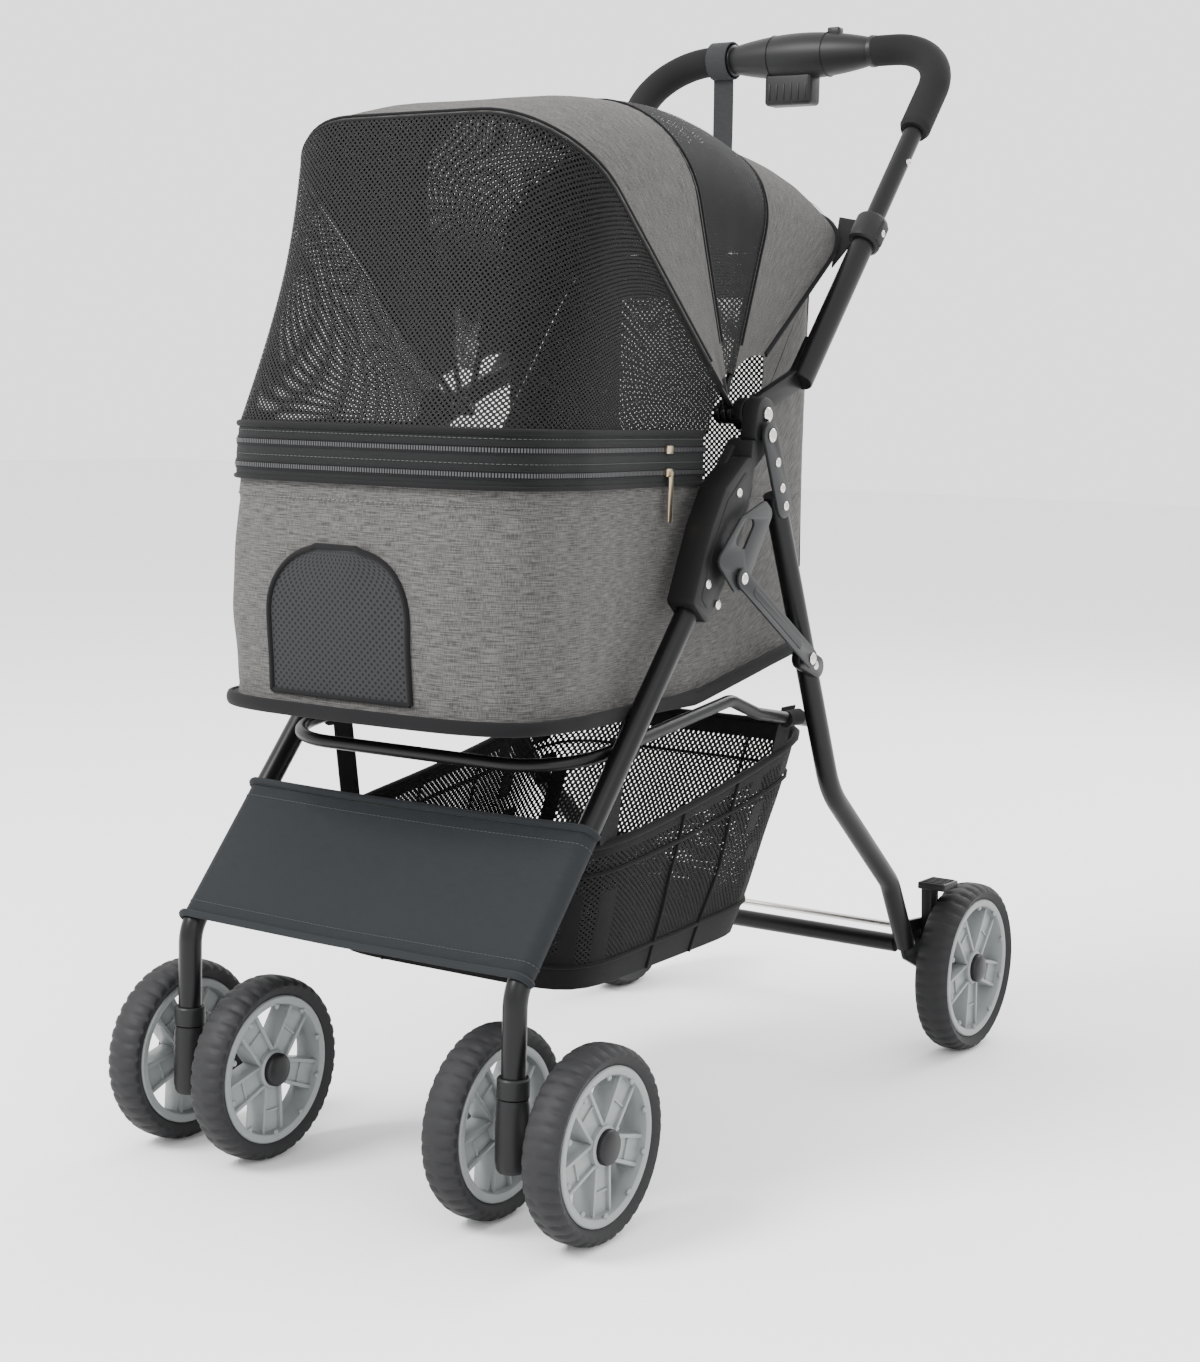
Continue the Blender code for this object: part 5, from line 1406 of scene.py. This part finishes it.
def build_gussets():
    """The black cloth corners that tie the canopy's rear edge to the handle."""
    for name, side in SIDES:
        corner = Vector((side * 0.118, 0.170, 0.800))
        below = Vector((side * 0.134, 0.128, 0.752))
        tube_side = Vector((side * 0.1470, 0.136, 0.772))
        tip = Vector((side * 0.1470, 0.155, 0.795))
        rows = [[a.lerp(b, k / 6) for k in range(7)] for a, b in ((below, tube_side), (corner, tip))]
        rows = [[p.lerp(q, k / 8) for p, q in zip(*rows)] for k in range(9)]
        mesh = bmesh.new()
        cloth_grid(mesh, rows, TAPE)
        make(f"gusset_{name}", mesh, "black_cloth", "front_frame", sharp=60)


def build_front_mesh():
    hem = [Vector((x, y, MESH_HEM)) for x, y, _, _ in cabin_line(-WALL_INSET + 0.0022) if y < -0.080]
    hem = list(reversed(resampled(hem, 61)))
    bow = arch(BOWS["front"][0] + 0.5, BOWS["front"][1], BOWS["front"][2], 0.034, 0.0044, 61)
    rows = []
    for k in range(21):
        v = k / 20
        line = []
        for i, (a, b) in enumerate(zip(hem, bow)):
            point = a.lerp(b, v)
            s = abs(2 * i / 60 - 1)
            dip = math.sin(math.pi * v)
            pull = Vector((-point.x * 0.03, 0.013 * (1 - s * s), 0)) * dip * 0.7
            fold = ripple((i * 0.13, v * 1.6, 21.0), (1, 1, 1)) * 0.0022 * dip
            line.append(point + pull + Vector((0, fold, 0)))
        rows.append(line)
    mesh = bmesh.new()
    cloth_grid(mesh, rows, MESH_CLOTH)
    piece = make("front_mesh", mesh, "mesh", "canopy_front", ["canopy_front_mesh"], sharp=60)
    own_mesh(piece)


# ---------------------------------------------------------------- basket and foot panel

# (front y, front z, rear y, rear z) of the basket's base and of its rim
BASKET_FOOT, BASKET_RIM = (-0.250, 0.158, 0.030, 0.164), (-0.246, 0.272, 0.126, 0.336)


def basket_ring(t, grow=0.0, count=80):
    """The basket's outline at a share of its height, with rounded corners."""
    front, low, rear, high = (a + (b - a) * t for a, b in zip(BASKET_FOOT, BASKET_RIM))
    half = 0.128 + 0.010 * t
    points = []
    for k in range(count):
        turn = 2 * math.pi * k / count
        c, s = math.cos(turn), math.sin(turn)
        r = (abs(c) ** 7 + abs(s) ** 7) ** (-1 / 7)
        x, share = r * c * half, (1 + r * s) / 2
        bow = 0.004 * math.sin(math.pi * t) * (0.5 + ripple((k * 0.2, t * 2, 4.0), (1, 1, 1)))
        x += c * (bow + grow)
        y = front + (rear - front) * share + s * (bow + grow)
        sag = 0.006 * t * math.sin(math.pi * share) * (1 if abs(c) > 0.6 else 0.4)
        points.append(Vector((x, y, low + (high - low) * share - sag)))
    return points


def build_basket():
    mesh = bmesh.new()
    rings = []
    for inset in (0.97, 0.6, 0.3):
        base = basket_ring(0.0)
        centre = sum(base, Vector()) / len(base)
        rings.append([p.lerp(centre, inset) - Vector((0, 0, 0.003 * inset)) for p in base])
    rings += [basket_ring(k / 12) for k in range(13)]
    cloth_grid(mesh, rings, 0.0014, closed=True)
    bin_ = make("basket_cloth", mesh, "black_cloth", "front_frame", ["basket"], sharp=60)
    bin_.data.materials.append(FINISHES["basket_mesh"])
    for face in bin_.data.polygons:
        spot = face.center
        height = (spot.z - 0.160) / (0.110 + 0.175 * max(0.0, spot.y + 0.246))
        near_post = min(abs(spot.y - y) for y in (-0.215, 0.020, 0.075))
        side = abs(spot.x) > 0.118 and near_post > 0.006
        end = abs(spot.x) < 0.108
        if 0.20 < height < 0.90 and (side or end):
            face.material_index = 1
    mesh = bmesh.new()
    block(mesh, Vector((-0.115, -0.236, 0.1655)), Vector((0.115, 0.018, 0.1680)), 0.0010)
    make("basket_base_board", mesh, "black_cloth", "front_frame")
    mesh = bmesh.new()
    rim = basket_ring(1.0, 0.0006)
    tube(mesh, rim + [rim[0]], 0.0034, 10)
    for t in (0.16, 0.80):
        ring = basket_ring(t, 0.0010)
        tube(mesh, ring + [ring[0]], 0.0016, 8)
    for k in (3, 14, 26, 37, 43, 54, 66, 77):
        tube(mesh, [basket_ring(t / 8, 0.0010)[k] for t in range(9)], 0.0014, 8)
    make("basket_binding", mesh, "binding", "front_frame")
    mesh = bmesh.new()
    for side in (-1, 1):
        for y, z in ((-0.215, 0.353), (0.060, 0.352)):
            rim_at = min((p for p in rim if p.x * side > 0.10), key=lambda p: abs(p.y - y))
            top = Vector((side * 0.1440, y, z + 0.010))
            spread = [Vector((0, 0.012 * (j / 3 - 0.5) * 2, 0)) for j in range(4)]
            rows = [[rim_at.lerp(top, k / 6) + step for step in spread] for k in range(7)]
            cloth_grid(mesh, rows if side > 0 else [list(reversed(r)) for r in rows], TAPE)
            loop = [Vector((side * 0.1470, y + dy, z)) for dy in (-0.012, 0.012)]
            tube(mesh, loop, 0.0074, 16)
    make("basket_hangers", mesh, "binding", "front_frame")


def build_foot_panel():
    slope = Vector((LEG_TOP[0] - LEG_BEND[0], LEG_TOP[1] - LEG_BEND[1])).normalized()
    out = Vector((-slope.y, slope.x))
    low = Vector(LEG_BEND) + slope * 0.008
    columns = []
    for k in range(33):
        x = -CASTER_X + 2 * CASTER_X * k / 32
        columns.append((x, 0.0102 - 0.0040 * math.sin(math.pi * k / 32)))
    for k in range(1, 9):
        turn = math.radians(105 * k / 8)
        x, depth = CASTER_X + 0.0104 * math.sin(turn), 0.0104 * math.cos(turn)
        columns.append((x, depth))
        columns.insert(0, (-x, depth))
    rows = []
    for k in range(15):
        t = k / 14
        line = []
        for x, depth in columns:
            inside = max(0.0, 1 - abs(x) / CASTER_X)
            depth += 0.0020 * ripple((x * 9, t * 2.4, 30.0), (1, 1, 1)) * inside
            depth -= 0.003 * inside * math.sin(math.pi * t)
            at = low + slope * (0.129 * t) + out * depth
            line.append(Vector((x, at.x, at.y)))
        rows.append(line)
    mesh = bmesh.new()
    cloth_grid(mesh, rows, TAPE)
    cloth = make("foot_cloth", mesh, "foot", "front_frame", ["foot_panel"], sharp=60)
    mesh = bmesh.new()
    lift = Vector((0, out.x, out.y))
    for k in (0, 14):
        tube(mesh, [p + lift * 0.0016 for p in rows[k]], 0.0030, 10)
    make("foot_panel_hems", mesh, "foot", "front_frame")
    lines = []
    for t in (1.4, 12.6):
        k, share = int(t), t - int(t)
        lines.append([a.lerp(b, share) + lift * 0.0003 for a, b in zip(rows[k], rows[k + 1])])
    row("foot_panel_stitches", lines, 0.0040, (0.0026, 0.0004, 0.0004), "dark_thread", "front_frame")


# ---------------------------------------------------------------- stage

# (name, place, size in metres, power in watts)
LAMPS = (
    ("key_light", (-1.2, -2.6, 2.9), 1.2, 210.0),
    ("fill_light", (2.4, -1.6, 1.9), 2.2, 30.0),
    ("back_light", (0.4, 2.8, 2.6), 2.0, 90.0),
)
CAMERA_PLACE, CAMERA_LOOK, CAMERA_ROLL = (1.1358, -1.7498, 0.6284), (-0.5469, 0.8286, -0.1197), 1.429
LENS_MM, SENSOR_MM = 69.84, 36.0
FLOOR_SIZE, SKY_STRENGTH = 14.0, 2.0


def build_stage():
    mesh = bmesh.new()
    bmesh.ops.create_grid(mesh, x_segments=1, y_segments=1, size=FLOOR_SIZE)
    data = bpy.data.meshes.new("studio_floor")
    mesh.to_mesh(data)
    mesh.free()
    floor = bpy.data.objects.new("studio_floor", data)
    finish = material("Studio floor", 0.9, (0.92, 0.92, 0.92))[0]
    data.materials.append(finish)
    bpy.context.scene.collection.objects.link(floor)
    world = bpy.data.worlds.new("Studio light")
    world.use_nodes = True
    sky = world.node_tree.nodes["Background"]
    sky.inputs["Color"].default_value = (1.0, 1.0, 1.0, 1.0)
    sky.inputs["Strength"].default_value = SKY_STRENGTH
    bpy.context.scene.world = world
    for name, place, size, power in LAMPS:
        light = bpy.data.lights.new(name, "AREA")
        light.energy, light.size = power, size
        lamp = bpy.data.objects.new(name, light)
        lamp.location = place
        lamp.rotation_euler = (Vector((0, 0, 0.5)) - Vector(place)).to_track_quat("-Z", "Y").to_euler()
        bpy.context.scene.collection.objects.link(lamp)
    lens = bpy.data.cameras.new("main_view")
    lens.lens, lens.sensor_width, lens.sensor_fit = LENS_MM, SENSOR_MM, "HORIZONTAL"
    camera = bpy.data.objects.new("main_view", lens)
    forward = Vector(CAMERA_LOOK).normalized()
    right = forward.cross(Vector((0, 0, 1))).normalized()
    up = right.cross(forward)
    roll = math.radians(CAMERA_ROLL)
    across = right * math.cos(roll) + up * math.sin(roll)
    above = up * math.cos(roll) - right * math.sin(roll)
    turn = Matrix((across, above, -forward)).transposed().to_4x4()
    camera.matrix_world = Matrix.Translation(CAMERA_PLACE) @ turn
    bpy.context.scene.collection.objects.link(camera)
    bpy.context.scene.camera = camera


# ---------------------------------------------------------------- operators

class STROLLER_OT_wheels(Operator):
    """Builds the tyres and ribbed rims of all six wheels"""
    bl_idname = "stroller.wheels"
    bl_label = "Wheels"

    def execute(self, context):
        build_wheels()
        return {"FINISHED"}


class STROLLER_OT_casters(Operator):
    """Builds the two swivelling front forks"""
    bl_idname = "stroller.casters"
    bl_label = "Casters"

    def execute(self, context):
        build_casters()
        return {"FINISHED"}


class STROLLER_OT_front_frame(Operator):
    """Builds the front legs, their bracing and the hinge housings"""
    bl_idname = "stroller.front_frame"
    bl_label = "Front frame"

    def execute(self, context):
        build_front_frame()
        return {"FINISHED"}


class STROLLER_OT_latches(Operator):
    """Builds the lock hooks and the link bars at the sides"""
    bl_idname = "stroller.latches"
    bl_label = "Hooks and links"

    def execute(self, context):
        build_latches()
        return {"FINISHED"}


class STROLLER_OT_rear_frame(Operator):
    """Builds the rear legs, their cross bar and the brake"""
    bl_idname = "stroller.rear_frame"
    bl_label = "Rear frame"

    def execute(self, context):
        build_rear_frame()
        return {"FINISHED"}


class STROLLER_OT_handle(Operator):
    """Builds the handle tubes, foam grips, fold release and wrist strap"""
    bl_idname = "stroller.handle"
    bl_label = "Push handle"

    def execute(self, context):
        build_handle()
        return {"FINISHED"}


class STROLLER_OT_cabin(Operator):
    """Builds the cloth cabin, its mesh windows, base and padded mat"""
    bl_idname = "stroller.cabin"
    bl_label = "Cabin"

    def execute(self, context):
        build_cabin()
        return {"FINISHED"}


class STROLLER_OT_rim_band(Operator):
    """Builds the zip band round the cabin's rim"""
    bl_idname = "stroller.rim_band"
    bl_label = "Zip band"

    def execute(self, context):
        build_band()
        return {"FINISHED"}


class STROLLER_OT_canopy(Operator):
    """Builds the bows, cloth panels and mesh of the canopy"""
    bl_idname = "stroller.canopy"
    bl_label = "Canopy"

    def execute(self, context):
        build_canopy()
        return {"FINISHED"}


class STROLLER_OT_basket(Operator):
    """Builds the storage basket and its hangers"""
    bl_idname = "stroller.basket"
    bl_label = "Basket"

    def execute(self, context):
        build_basket()
        return {"FINISHED"}


class STROLLER_OT_foot_panel(Operator):
    """Builds the cloth panel stretched between the front legs"""
    bl_idname = "stroller.foot_panel"
    bl_label = "Foot panel"

    def execute(self, context):
        build_foot_panel()
        return {"FINISHED"}


class STROLLER_OT_stage(Operator):
    """Builds the floor, lights and camera"""
    bl_idname = "stroller.stage"
    bl_label = "Studio"

    def execute(self, context):
        build_stage()
        return {"FINISHED"}


STEPS = (
    STROLLER_OT_wheels,
    STROLLER_OT_casters,
    STROLLER_OT_front_frame,
    STROLLER_OT_latches,
    STROLLER_OT_rear_frame,
    STROLLER_OT_handle,
    STROLLER_OT_cabin,
    STROLLER_OT_rim_band,
    STROLLER_OT_canopy,
    STROLLER_OT_basket,
    STROLLER_OT_foot_panel,
    STROLLER_OT_stage,
)


class STROLLER_PT_builder(Panel):
    """Lists the stroller's settings and the steps that build it"""
    bl_label = "Pet stroller"
    bl_idname = "STROLLER_PT_builder"
    bl_space_type = "VIEW_3D"
    bl_region_type = "UI"
    bl_category = "Pet stroller"

    def draw(self, context):
        layout = self.layout
        for owner in settings():
            box = layout.box()
            for name in owner.__annotations__:
                box.prop(owner, name)
        column = layout.column(align=True)
        for step in STEPS:
            column.operator(step.bl_idname)


CLASSES = (StrollerColours, StrollerSizes) + STEPS + (STROLLER_PT_builder,)


def register():
    for item in CLASSES:
        bpy.utils.register_class(item)
    bpy.types.Scene.stroller_colours = PointerProperty(type=StrollerColours)
    bpy.types.Scene.stroller_sizes = PointerProperty(type=StrollerSizes)


def unregister():
    del bpy.types.Scene.stroller_sizes
    del bpy.types.Scene.stroller_colours
    for item in reversed(CLASSES):
        bpy.utils.unregister_class(item)


def main():
    register()
    make_finishes()
    for step in STEPS:
        group_name, step_name = step.bl_idname.split(".")
        getattr(getattr(bpy.ops, group_name), step_name)()


if __name__ == "__main__":
    main()
